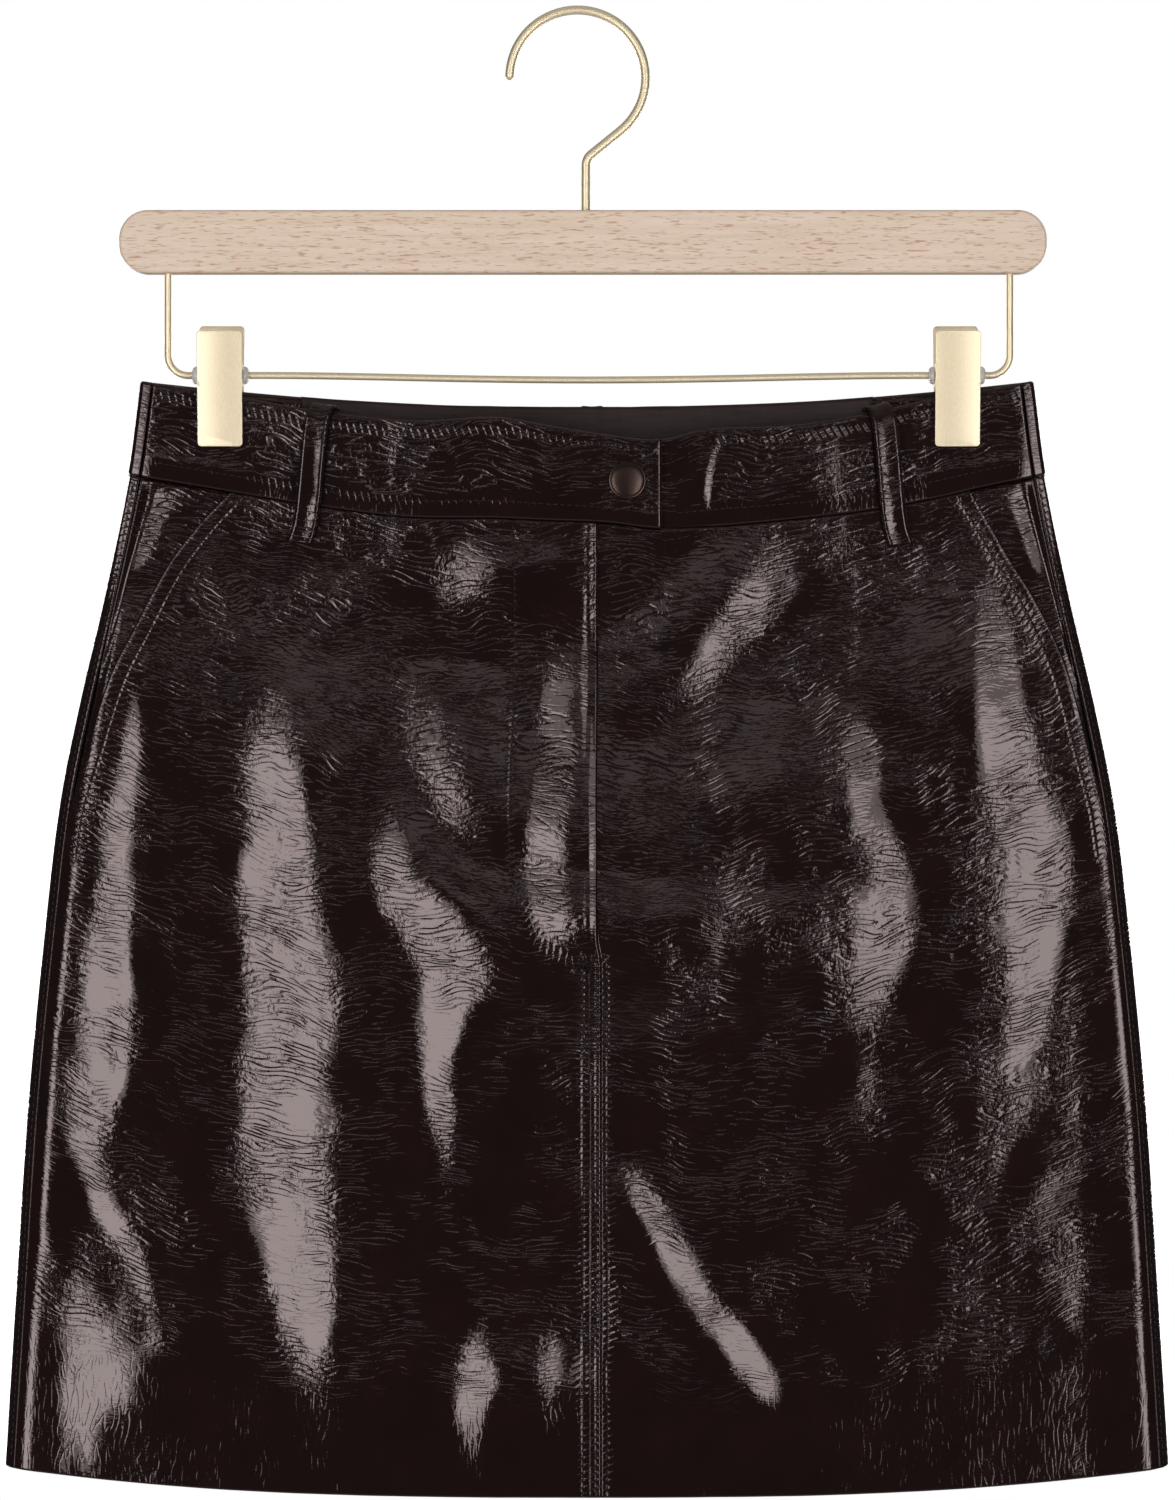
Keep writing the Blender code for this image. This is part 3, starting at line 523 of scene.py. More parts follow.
LIT_ON_RIGHT = (
    (1.05, (
        (1130, 610, 650, 240, 0.0), (1180, 622, 668, 220, 1), (1230, 644, 704, 180, 1),
        (1280, 668, 730, 120, 1), (1320, 696, 758, 120, 1), (1360, 728, 786, 120, 0.9),
        (1410, 762, 800, 120, 0.0),
    )),
    (1.1, (
        (560, 970, 1000, 110, 0.0), (620, 970, 1010, 115, 0.7), (680, 968, 1026, 120, 1),
        (760, 970, 1046, 125, 1), (840, 990, 1064, 130, 1), (920, 1000, 1070, 130, 1),
        (1000, 1002, 1058, 130, 1), (1060, 1000, 1050, 120, 0.5), (1140, 1000, 1050, 110, 0.0),
    )),
    (0.92, (
        (680, 840, 880, 120, 0.0), (740, 836, 885, 130, 0.8), (800, 846, 892, 130, 0.8),
        (850, 864, 908, 130, 1), (900, 854, 916, 140, 1), (960, 848, 908, 140, 1),
        (1010, 842, 886, 120, 0.8), (1070, 848, 882, 110, 0.3), (1120, 850, 880, 110, 0.0),
    )),
)
# Narrow shelves beside the side folds, with the same columns.
SHELVES = (
    (
        (600, 111, 131, 60, 0.0), (700, 88, 108, 60, 1.2), (820, 64, 84, 60, 1.6),
        (920, 51, 71, 60, 1.6), (1040, 39, 59, 60, 1.6), (1120, 32, 52, 60, 1.6),
        (1200, 27, 47, 50, 1.4), (1280, 21, 41, 40, 0.9), (1340, 17, 37, 36, 0.7),
        (1400, 13, 33, 36, 0.7), (1490, 8, 28, 36, 0.7),
    ),
    (
        (540, 1035, 1052, 30, 0.0), (620, 1040, 1064, 28, 0.45), (700, 1046, 1078, 28, 0.45),
        (760, 1050, 1090, 28, 0.5), (840, 1064, 1102, 28, 0.5), (940, 1070, 1114, 28, 0.5),
        (1060, 1070, 1124, 28, 0.45), (1200, 1074, 1132, 28, 0.42), (1300, 1078, 1140, 28, 0.4),
        (1400, 1082, 1145, 28, 0.4), (1490, 1086, 1150, 28, 0.4),
    ),
)
SHELF_LEAN = 0.165
# A lit flank's slope, and how it grows with x because the lamps stand to the sides.
LAMP_LEAN, LEAN_GROWTH = 0.274, 0.44
# Ridges down the back, each a list of rows in millimetres.
# columns: drop, x of the crest, width of its left flank, width of its right flank, height
BACK_RIDGES = (
    ((20, 118, 26, 26, 0), (90, 106, 30, 40, 3.2), (180, 100, 28, 44, 4.6), (280, 92, 28, 40, 3.4),
     (380, 84, 24, 32, 0)),
    ((60, 40, 22, 30, 0), (140, 46, 24, 36, 3.0), (220, 42, 24, 34, 2.6), (300, 40, 24, 28, 0)),
    ((40, -30, 30, 24, 0), (150, -24, 34, 22, 2.6), (260, -16, 32, 22, 3.0), (380, -8, 26, 22, 0)),
    ((90, -92, 30, 26, 0), (170, -100, 36, 28, 3.4), (260, -108, 36, 26, 2.6), (330, -112, 30, 24, 0)),
    ((20, -142, 34, 24, 0), (110, -152, 42, 24, 3.0), (220, -158, 40, 24, 3.2), (330, -160, 36, 24, 0.8)),
    ((240, 176, 30, 30, 0), (320, 184, 30, 36, 2.2), (392, 178, 30, 40, 2.2)),
)
# Slanting ridges, in millimetres.
# columns: x and drop of the upper end, x and drop of the lower end, width on the left, on the right, height
FRONT_SLANTS = (
    (82, 2, -2, 82, 26, 28, 3.9),
)
BACK_SLANTS = (
    (-60, 20, -110, 90, 18, 26, 2.4),
    (30, 250, -20, 370, 22, 26, 3.0),
    (130, 230, 150, 330, 20, 26, 2.0),
)
CREASE_END = 0.35
DENTS = ((30, 60, 0.45), (13, 19, 0.16), (6, 7, 0.05))  # width, height and depth in millimetres
CLIP_REACH, CLIP_HALF = 0.1473, 0.0105
PINCH_DEPTH, PINCH_BELOW = 0.0020, 0.0048
PINCH_IN, PINCH_OUT, PINCH_DOWN = 0.045, 0.034, 0.050
CLIP_DROP = 0.012
BAND_HOLD_START, BAND_HOLD = 0.005, 0.085
FOLD_FADE = {"front": 0.009, "back": 0.014}
BACK_SAG, BACK_SAG_POWER = 0.0100, 2.2
SLOPE_STEP = 0.0008
SETTLING, SETTLING_ROUNDS = 0.6, 14


def smooth(value):
    value = np.clip(value, 0.0, 1.0)
    return value * value * (3 - 2 * value)


def mix(first, second, share):
    return first + (second - first) * share


def read(table, column, key):
    """A column's value at each key, on a smooth curve through the rows and straight past its ends."""
    keys, values = table[:, 0], table[:, column]
    slopes = np.empty_like(values)
    slopes[1:-1] = (values[2:] - values[:-2]) / (keys[2:] - keys[:-2])
    slopes[0] = (values[1] - values[0]) / (keys[1] - keys[0])
    slopes[-1] = (values[-1] - values[-2]) / (keys[-1] - keys[-2])
    key = np.asarray(key, float)
    inside = np.clip(key, keys[0], keys[-1])
    row = np.clip(np.searchsorted(keys, inside) - 1, 0, len(keys) - 2)
    run = keys[row + 1] - keys[row]
    share = (inside - keys[row]) / run
    level = mix(values[row], values[row + 1], smooth(share))
    bend = share * (1 - share) ** 2 * slopes[row] + share**2 * (share - 1) * slopes[row + 1]
    past = np.where(key < keys[0], slopes[0], slopes[-1]) * (key - inside)
    return level + run * bend + past


def half_width(drop):
    return read(SECTIONS, 1, drop)


def side_seam(drop):
    return half_width(drop) - SIDE_SEAM_IN


def rumple(x, y, seed):
    """Smooth noise from -1 to 1, one bump to a unit, the same in each run."""
    grid = np.random.default_rng(seed).random((64, 64)) * 2 - 1
    column, row = np.floor(x).astype(int), np.floor(y).astype(int)
    u, v = x - column, y - row
    u, v = (s * s * s * (s * (s * 6 - 15) + 10) for s in (u, v))
    corner = [grid[(row + j) % 64, (column + i) % 64] for j in (0, 1) for i in (0, 1)]
    return mix(mix(corner[0], corner[1], u), mix(corner[2], corner[3], u), v)


def ridges(x, drop, rows_of_ridges, slants):
    """Height of the ridges at a place on a face. All in millimetres."""
    total = np.zeros_like(x)
    for rows in rows_of_ridges:
        table = np.array(rows, float)
        key = np.clip(drop, table[0, 0], table[-1, 0])
        crest, left, right, height = (read(table, column, key) for column in (1, 2, 3, 4))
        off = x - crest
        total += np.maximum(height, 0) * (1 - smooth(np.where(off < 0, -off / left, off / right)))
    for top_x, top_drop, low_x, low_drop, left, right, height in slants:
        run_x, run_drop = low_x - top_x, low_drop - top_drop
        length = math.hypot(run_x, run_drop)
        share = ((x - top_x) * run_x + (drop - top_drop) * run_drop) / length**2
        off = ((x - top_x) * run_drop - (drop - top_drop) * run_x) / length
        ends = smooth(share / CREASE_END) * smooth((1 - share) / CREASE_END)
        total += height * ends * (1 - smooth(np.where(off < 0, -off / left, off / right)))
    return total


def dents(x, drop, seed):
    """Shallow uneven hollows and swellings of three sizes, in millimetres."""
    shift_x = x + 6 * rumple(x / 30, drop / 30, seed + 5)
    shift_drop = drop + 10 * rumple(x / 30 + 9, drop / 30, seed + 6)
    return sum(
        depth * rumple(shift_x / width, shift_drop / height, seed + size)
        for size, (width, height, depth) in enumerate(DENTS)
    )


def face_depth(across, drop, front, folds, look_up):
    """How far a face stands out from the skirt's middle, and how far it curves back at the side.

    folds are in millimetres, and look_up gives a table's column at each drop.
    """
    half = look_up(SECTIONS, 1, drop)
    radius = look_up(SECTIONS, 2, drop)
    inward = half * (1 - np.abs(across))
    arc_depth = np.sqrt(np.maximum(inward * (2 * radius - inward), 0))
    edge = np.where(inward >= radius, radius, arc_depth)
    x = across * half
    # The long ridges make up the rest of the front's bulge.
    bulge = np.where(front, PANEL_BULGE * look_up(SECTIONS, 3, drop), look_up(SECTIONS, 4, drop))
    # Between the clips the band runs nearly straight to a rounded middle.
    clip_edge = CLIP_REACH - CLIP_HALF
    middle = np.hypot(x, RISE_ROUND) / math.hypot(clip_edge, RISE_ROUND)
    rise = np.where(front, BAND_RISE * (1 - np.minimum(middle, 1) ** RISE_POWER), 0)
    near_band = np.where(front, 1 - smooth((drop - BAND_HOLD_START) / BAND_HOLD), 0)
    depth = mix(edge + bulge * (1 - across**2), np.minimum(edge, BAND_THIN) + rise, near_band)
    depth = depth + folds / 1000 * smooth(inward / np.where(front, FOLD_FADE["front"], FOLD_FADE["back"]))
    pressed = mix(PINCH_DEPTH, PINCH_BELOW, smooth((drop + CLIP_DROP) / CLIP_DROP)) + rise
    off = np.abs(x) - CLIP_REACH
    pinch = 1 - smooth((np.abs(off) - CLIP_HALF) / np.where(off < 0, PINCH_IN, PINCH_OUT))
    pinch = pinch * (1 - smooth((drop + CLIP_DROP) / PINCH_DOWN))
    depth = mix(depth, np.minimum(depth, pressed), pinch)
    on_left = across < 0
    roll_depth = np.where(on_left, look_up(SIDE_ROLLS, 1, drop), look_up(SIDE_ROLLS, 3, drop))
    roll_width = np.where(on_left, look_up(SIDE_ROLLS, 2, drop), look_up(SIDE_ROLLS, 4, drop))
    return depth, roll_depth * np.clip(1 - inward / roll_width, 0, 1) ** 2


def ridge_in_mm(rows, lit):
    """Rows of drop, crest, width of the left and right flank, height and share. lit is 1 for the left."""
    row, start, end, away, share = np.array(rows, float).T
    flank, away = (end - start) * GRID, away * GRID
    crest = ((end if lit > 0 else start) - MIDDLE_COLUMN) * GRID
    sides = (flank, away) if lit > 0 else (away, flank)
    return np.stack([(row - WAIST_ROW) * GRID, crest, *sides, SHELF_LEAN * share * flank, share], axis=-1)


def slope_across(x, drop, tables):
    """Slope of the front from left to right, with straight lines between the rows of the sections."""

    def straight(table, column, key):
        return np.interp(key, table[:, 0], table[:, column])

    def depth(x):
        folds = ridges(x * 1000, drop * 1000, tables, FRONT_SLANTS)
        out, roll = face_depth(x / straight(SECTIONS, 1, drop), drop, True, folds, straight)
        return out - roll

    return (depth(x + SLOPE_STEP) - depth(x - SLOPE_STEP)) / (2 * SLOPE_STEP)


def ridges_facing_lamps():
    """The front's ridges, each row raised until the middle of its lit flank faces its lamp."""
    lit = [1] * len(LIT_ON_LEFT) + [-1] * len(LIT_ON_RIGHT)
    flanks = [ridge_in_mm(rows, side) for (_, rows), side in zip(LIT_ON_LEFT + LIT_ON_RIGHT, lit)]
    aims = [aim for aim, _ in LIT_ON_LEFT + LIT_ON_RIGHT]
    shelves = [ridge_in_mm(rows, 1) for rows in SHELVES]
    tables = flanks[: len(LIT_ON_LEFT)] + shelves + flanks[len(LIT_ON_LEFT) :]
    full = [(n, i) for n, table in enumerate(flanks) for i in np.flatnonzero(table[:, 5] >= 1)]
    side, aim = (np.array([values[n] for n, _ in full]) for values in (lit, aims))
    drop, crest = (np.array([flanks[n][i, column] for n, i in full]) / 1000 for column in (0, 1))
    width = np.array([flanks[n][i, 2 if lit[n] > 0 else 3] for n, i in full])
    x = crest - side * width / 2000
    wanted = aim * (side * LAMP_LEAN + LEAN_GROWTH * x)
    for _ in range(SETTLING_ROUNDS):
        # The middle of a smooth flank is 1.5 times as steep as its average.
        steps = SETTLING * side * width / 1.5 * (wanted - slope_across(x, drop, tables))
        for (n, i), step in zip(full, steps):
            flanks[n][i, 4] = max(flanks[n][i, 4] + step, 0)
        for table, lit_side in zip(flanks, lit):
            widths = table[:, 2 if lit_side > 0 else 3]
            for i in np.flatnonzero((table[:, 5] > 0) & (table[:, 5] < 1)):
                beside = [j for j in (i - 1, i + 1) if 0 <= j < len(table) and table[j, 5] >= 1]
                if beside:
                    table[i, 4] = table[i, 5] * widths[i] * max(table[j, 4] / widths[j] for j in beside)
    return [np.column_stack([np.round(table[:, :4]), np.round(table[:, 4], 1)]) for table in tables]


FRONT_RIDGES = ridges_facing_lamps()


def skin(turn, drop):
    """Points on the outer face. turn 0 to 1 is the front, left to right, and 1 to 2 the back."""
    turn, drop = np.broadcast_arrays(np.asarray(turn, float), np.asarray(drop, float))
    across = -np.cos(np.pi * turn)
    front = np.sin(np.pi * turn) >= 0
    half = half_width(drop)
    x_mm, drop_mm = across * half * 1000, drop * 1000
    folds = np.where(
        front,
        ridges(x_mm, drop_mm, FRONT_RIDGES, FRONT_SLANTS) + dents(x_mm, drop_mm, 1),
        ridges(x_mm, drop_mm, BACK_RIDGES, BACK_SLANTS) + dents(x_mm, drop_mm, 20),
    )
    depth, roll = face_depth(across, drop, front, folds, read)
    back_sag = BACK_SAG * (1 - np.abs(across) ** BACK_SAG_POWER)
    seam_sag = np.where(front, read(FRONT_SAG, 1, across), back_sag)
    top_sag = np.where(front, read(FRONT_SAG, 2, across), back_sag)
    hem_sag = np.where(front, HEM_DIP["front"], HEM_DIP["back"]) * (1 - np.abs(across) ** HEM_POWER)
    sag = np.where(
        drop < 0,
        mix(seam_sag, top_sag, -drop / BAND_HEIGHT),
        mix(seam_sag, hem_sag, drop / SIDE_LENGTH),
    )
    y = np.where(front, -depth, depth) + roll
    return np.stack([SKIRT_X + across * half, y, WAIST_Z - drop - sag], axis=-1)


def on_skin(turn, drop, lift=0.0):
    """Points on the face moved out by lift, and the outward direction there."""
    turn_step, drop_step = 0.002, 0.0005
    along = skin(turn + turn_step, drop) - skin(turn - turn_step, drop)
    down = skin(turn, drop + drop_step) - skin(turn, drop - drop_step)
    outward = np.cross(down, along)
    outward /= np.linalg.norm(outward, axis=-1, keepdims=True)
    return skin(turn, drop) + outward * np.asarray(lift)[..., None], outward


def turn_at(x, drop, face="front"):
    """The turn at a distance x from the skirt's middle."""
    turn = np.arccos(np.clip(-x / half_width(drop), -1, 1)) / np.pi
    return turn if face == "front" else 2 - turn


# --- Seams and topstitching -------------------------------------------------------------------
# Where the stitched lines run. The thread draws the leather into a row of small puckers across each
# line, one to a stitch, so the panels and the waistband also get a map of the nearest line.

FLY_X = 0.0040
CENTRE_SEAM_X = 0.0056
FLY_LENGTH = 0.168
SEAM_GAP = 0.0003
# The fronts and the back overlap a little where they are sewn together, so no light shows through.
SEAM_OVERLAP = 0.0003
TAB_END_X = 0.0298
BAND_LIFT = 0.0008
STITCH = 0.0029
# columns: drop, distance of the left pocket's edge from the side seam, the right pocket's
POCKET_LINE = np.array(
    (
        (0.000, 0.0360, 0.0255),
        (0.015, 0.0262, 0.0205),
        (0.031, 0.0183, 0.0154),
        (0.045, 0.0138, 0.0102),
        (0.060, 0.0100, 0.0062),
        (0.075, 0.0062, 0.0038),
        (0.092, 0.0040, 0.0026),
        (0.110, 0.0026, 0.0018),
        (0.134, 0.0000, 0.0000),
    )
)
POCKET_COLUMN = {"left": 1, "right": 2}


def centre_line(drop):
    return mix(FLY_X, CENTRE_SEAM_X, smooth((drop - FLY_LENGTH) / 0.012))


def pocket_inset(drop, side):
    inset = np.maximum(read(POCKET_LINE, POCKET_COLUMN[side], drop), 0)
    return np.where(drop < POCKET_LINE[-1, 0], inset, 0.0)


def line(*xs_and_drops, count=300):
    """A smooth line through (x, drop) places, as arrays."""
    table = np.array([(i, x, drop) for i, (x, drop) in enumerate(xs_and_drops)], float)
    at = np.linspace(0, len(table) - 1, count)
    return read(table, 1, at), read(table, 2, at)


def level(start, end, drop, count=300):
    return np.linspace(start, end, count), np.full(count, drop)


long_drops = np.linspace(FLY_LENGTH + 0.010, SIDE_LENGTH - 0.002, 300)
side_drops = np.linspace(0.004, SIDE_LENGTH - 0.004, 400)
pocket_drops = np.linspace(0.004, 0.150, 200)
# Each line is its places across, its drops, its face, how hard its thread draws the leather in, and
# how far out the puckers reach.
PANEL_LINES = [
    (centre_line(long_drops) + off, long_drops, "front", 0.9, 0.0045) for off in (-0.0072, -0.0018, 0.0026)
]
PANEL_LINES.append(
    (
        *line(
            (-0.0288, 0.006), (-0.0290, 0.060), (-0.0308, 0.110), (-0.0298, 0.146), (-0.0234, 0.160),
            (-0.0190, 0.170), (-0.0110, 0.1755), (-0.0070, 0.178), (0.0030, 0.180),
        ),
        "front",
        0.35,
        0.0045,
    )
)
for side, sign in (("left", -1), ("right", 1)):
    pocket_line = sign * (side_seam(pocket_drops) - pocket_inset(pocket_drops, side) - 0.0060)
    PANEL_LINES.append((pocket_line, pocket_drops, "front", 1.0, 0.0050))
    PANEL_LINES.append((sign * (side_seam(side_drops) + 0.0016), side_drops, "front", 0.5, 0.0040))
BAND_TOP_LINE, BAND_LOW_LINE = -BAND_HEIGHT + 0.0050, -0.0066
BAND_LINES = []
for drop, pull in ((BAND_TOP_LINE, 0.56), (BAND_LOW_LINE, 0.2)):
    BAND_LINES.append((*level(-0.172, TAB_END_X - 0.0045, drop), "front", pull, 0.0026))
    BAND_LINES.append((*level(TAB_END_X + 0.006, 0.172, drop), "front", pull, 0.0026))
    BAND_LINES.append((*level(-0.174, 0.174, drop), "back", 0.8, 0.0026))
BAND_LINES.append(
    (np.full(60, TAB_END_X - 0.0055), np.linspace(BAND_TOP_LINE, BAND_LOW_LINE, 60), "front", 0.6, 0.0026)
)


def nearest_line(points, lines, lift):
    """For each point, how far along the nearest stitched line it lies, and how far to which side."""
    best = np.full(len(points), 1.0)
    along, aside, near = np.zeros(len(points)), np.ones(len(points)), np.zeros(len(points))
    for xs, drops, face, pull, reach in lines:
        track, outward = on_skin(turn_at(xs, drops, face), drops, np.full(len(xs), lift))
        run = np.diff(track, axis=0)
        length = np.linalg.norm(run, axis=1)
        travelled = np.concatenate([[0], length.cumsum()])
        middles = (track[1:] + track[:-1]) / 2
        pick = np.empty(len(points), int)
        for first in range(0, len(points), 4000):
            gap = points[first : first + 4000, None, :] - middles[None, :, :]
            pick[first : first + 4000] = np.argmin((gap**2).sum(axis=-1), axis=1)
        direction = run[pick] / length[pick, None]
        gap = points - track[pick]
        step = (gap * direction).sum(axis=-1)
        side = np.cross(outward[pick], direction)
        off = (gap * side).sum(axis=-1)
        clear = np.linalg.norm(gap - step[:, None] * direction, axis=-1)
        past = np.maximum(np.maximum(-step - travelled[pick], step + travelled[pick] - travelled[-1]), 0)
        clear = clear + past
        nearer = clear < best
        best[nearer] = clear[nearer]
        along[nearer] = (travelled[pick] + step)[nearer]
        aside[nearer] = (np.copysign(clear, off))[nearer]
        near[nearer] = pull * (1 - smooth(clear[nearer] / reach))
    return np.stack([along, np.clip(aside, -0.02, 0.02)], axis=-1), near


# Cut and folded edges are rounded over.
def rounded_edge(distance, radius):
    """How far a rounded edge falls below the face at a distance in from it."""
    near = np.clip(radius - distance, 0, radius)
    return radius - np.sqrt(np.maximum(radius**2 - near**2, 0))


# Rows of points across a rounded edge, as shares of its radius.
EDGE_SHARES = np.array((0.0, 0.06, 0.2, 0.42, 0.7, 1.0))


def spaced(count, length, radius, before=True, after=True):
    """Places from 0 to 1 along a piece, with extra ones at the edges that are rounded over."""
    close = EDGE_SHARES * radius / length
    first = close if before else np.array((0.0,))
    last = 1 - close[::-1] if after else np.array((1.0,))
    middle = np.linspace(first[-1], last[0], max(count - len(first) - len(last) + 3, 2))[1:-1]
    return np.concatenate([first, middle, last])


def leather_piece(name, across, down, place, wall, material, slot, *nodes, lines=(), lift=0.0):
    """A thin shell. place(across, down) gives points for arrays of places from 0 to 1, down each column."""
    grid = bmesh.new()
    bmesh.ops.create_grid(grid, x_segments=len(across) - 1, y_segments=len(down) - 1, size=0.5)
    mesh = bpy.data.meshes.new(name)
    grid.to_mesh(mesh)
    grid.free()
    flat = np.empty(len(mesh.vertices) * 3)
    mesh.vertices.foreach_get("co", flat)
    flat = flat.reshape(-1, 3)
    column = np.rint((flat[:, 0] + 0.5) * (len(across) - 1)).astype(int)
    row = np.rint((0.5 - flat[:, 1]) * (len(down) - 1)).astype(int)
    sheet = place(across[None, :], down[:, None])
    mesh.vertices.foreach_set("co", sheet[row, column].ravel())
    # The pattern's own map is in metres along and down the leather.
    steps = np.linalg.norm(np.diff(sheet, axis=1), axis=-1).cumsum(axis=1)
    along = np.concatenate([np.zeros((len(down), 1)), steps], axis=1)
    along = along - along[:, -1:] / 2 + sheet[..., :1].mean(axis=1)
    falls = np.linalg.norm(np.diff(sheet, axis=0), axis=-1).cumsum(axis=0)
    falls = np.concatenate([np.zeros((1, len(across))), falls], axis=0)
    corners = np.empty(len(mesh.loops), int)
    mesh.loops.foreach_get("vertex_index", corners)
    chart = np.stack([along[row, column], 0.2 - falls[row, column]], axis=-1)[corners]
    mesh.uv_layers.new(name="leather_map").data.foreach_set("uv", chart.ravel())
    if lines:
        seam_chart, close = nearest_line(sheet.reshape(-1, 3), lines, lift)
        seam_chart = seam_chart.reshape(*sheet.shape[:2], 2)[row, column][corners]
        close = close.reshape(sheet.shape[:2])[row, column]
        mesh.attributes.new("seam_near", "FLOAT", "POINT").data.foreach_set("value", close)
        mesh.uv_layers.new(name="seam_map").data.foreach_set("uv", seam_chart.ravel())
    mesh.shade_smooth()
    piece = finish_piece(mesh, name, material, slot, *nodes)
    thick = piece.modifiers.new("wall", "SOLIDIFY")
    thick.thickness = wall
    thick.offset = -1.0
    thick.use_even_offset = False
    return piece


# --- Leather ----------------------------------------------------------------------------------
# Crinkled patent leather: dark oxblood-brown hide under a clear polyurethane film. The film's gloss
# is nearly a mirror, and the shrinking hide draws it into fine wavy grooves that lie mostly across.

# columns: where a zone of crinkles starts and is in full, on the map, and its strength
HEM_CRINKLE = (-0.150, -0.166, 0.22)
BAND_EDGE_CRINKLE = (0.1700, 0.1685, 0.16)
WAIST_CRINKLE = (0.140, 0.178, 1.2)
POCKET_CRINKLE = (0.150, 0.170, 1.3)
PUCKER_REACH = 0.0030
PUCKER_SLANT = 900.0
PUCKER_LEAN = 0.6


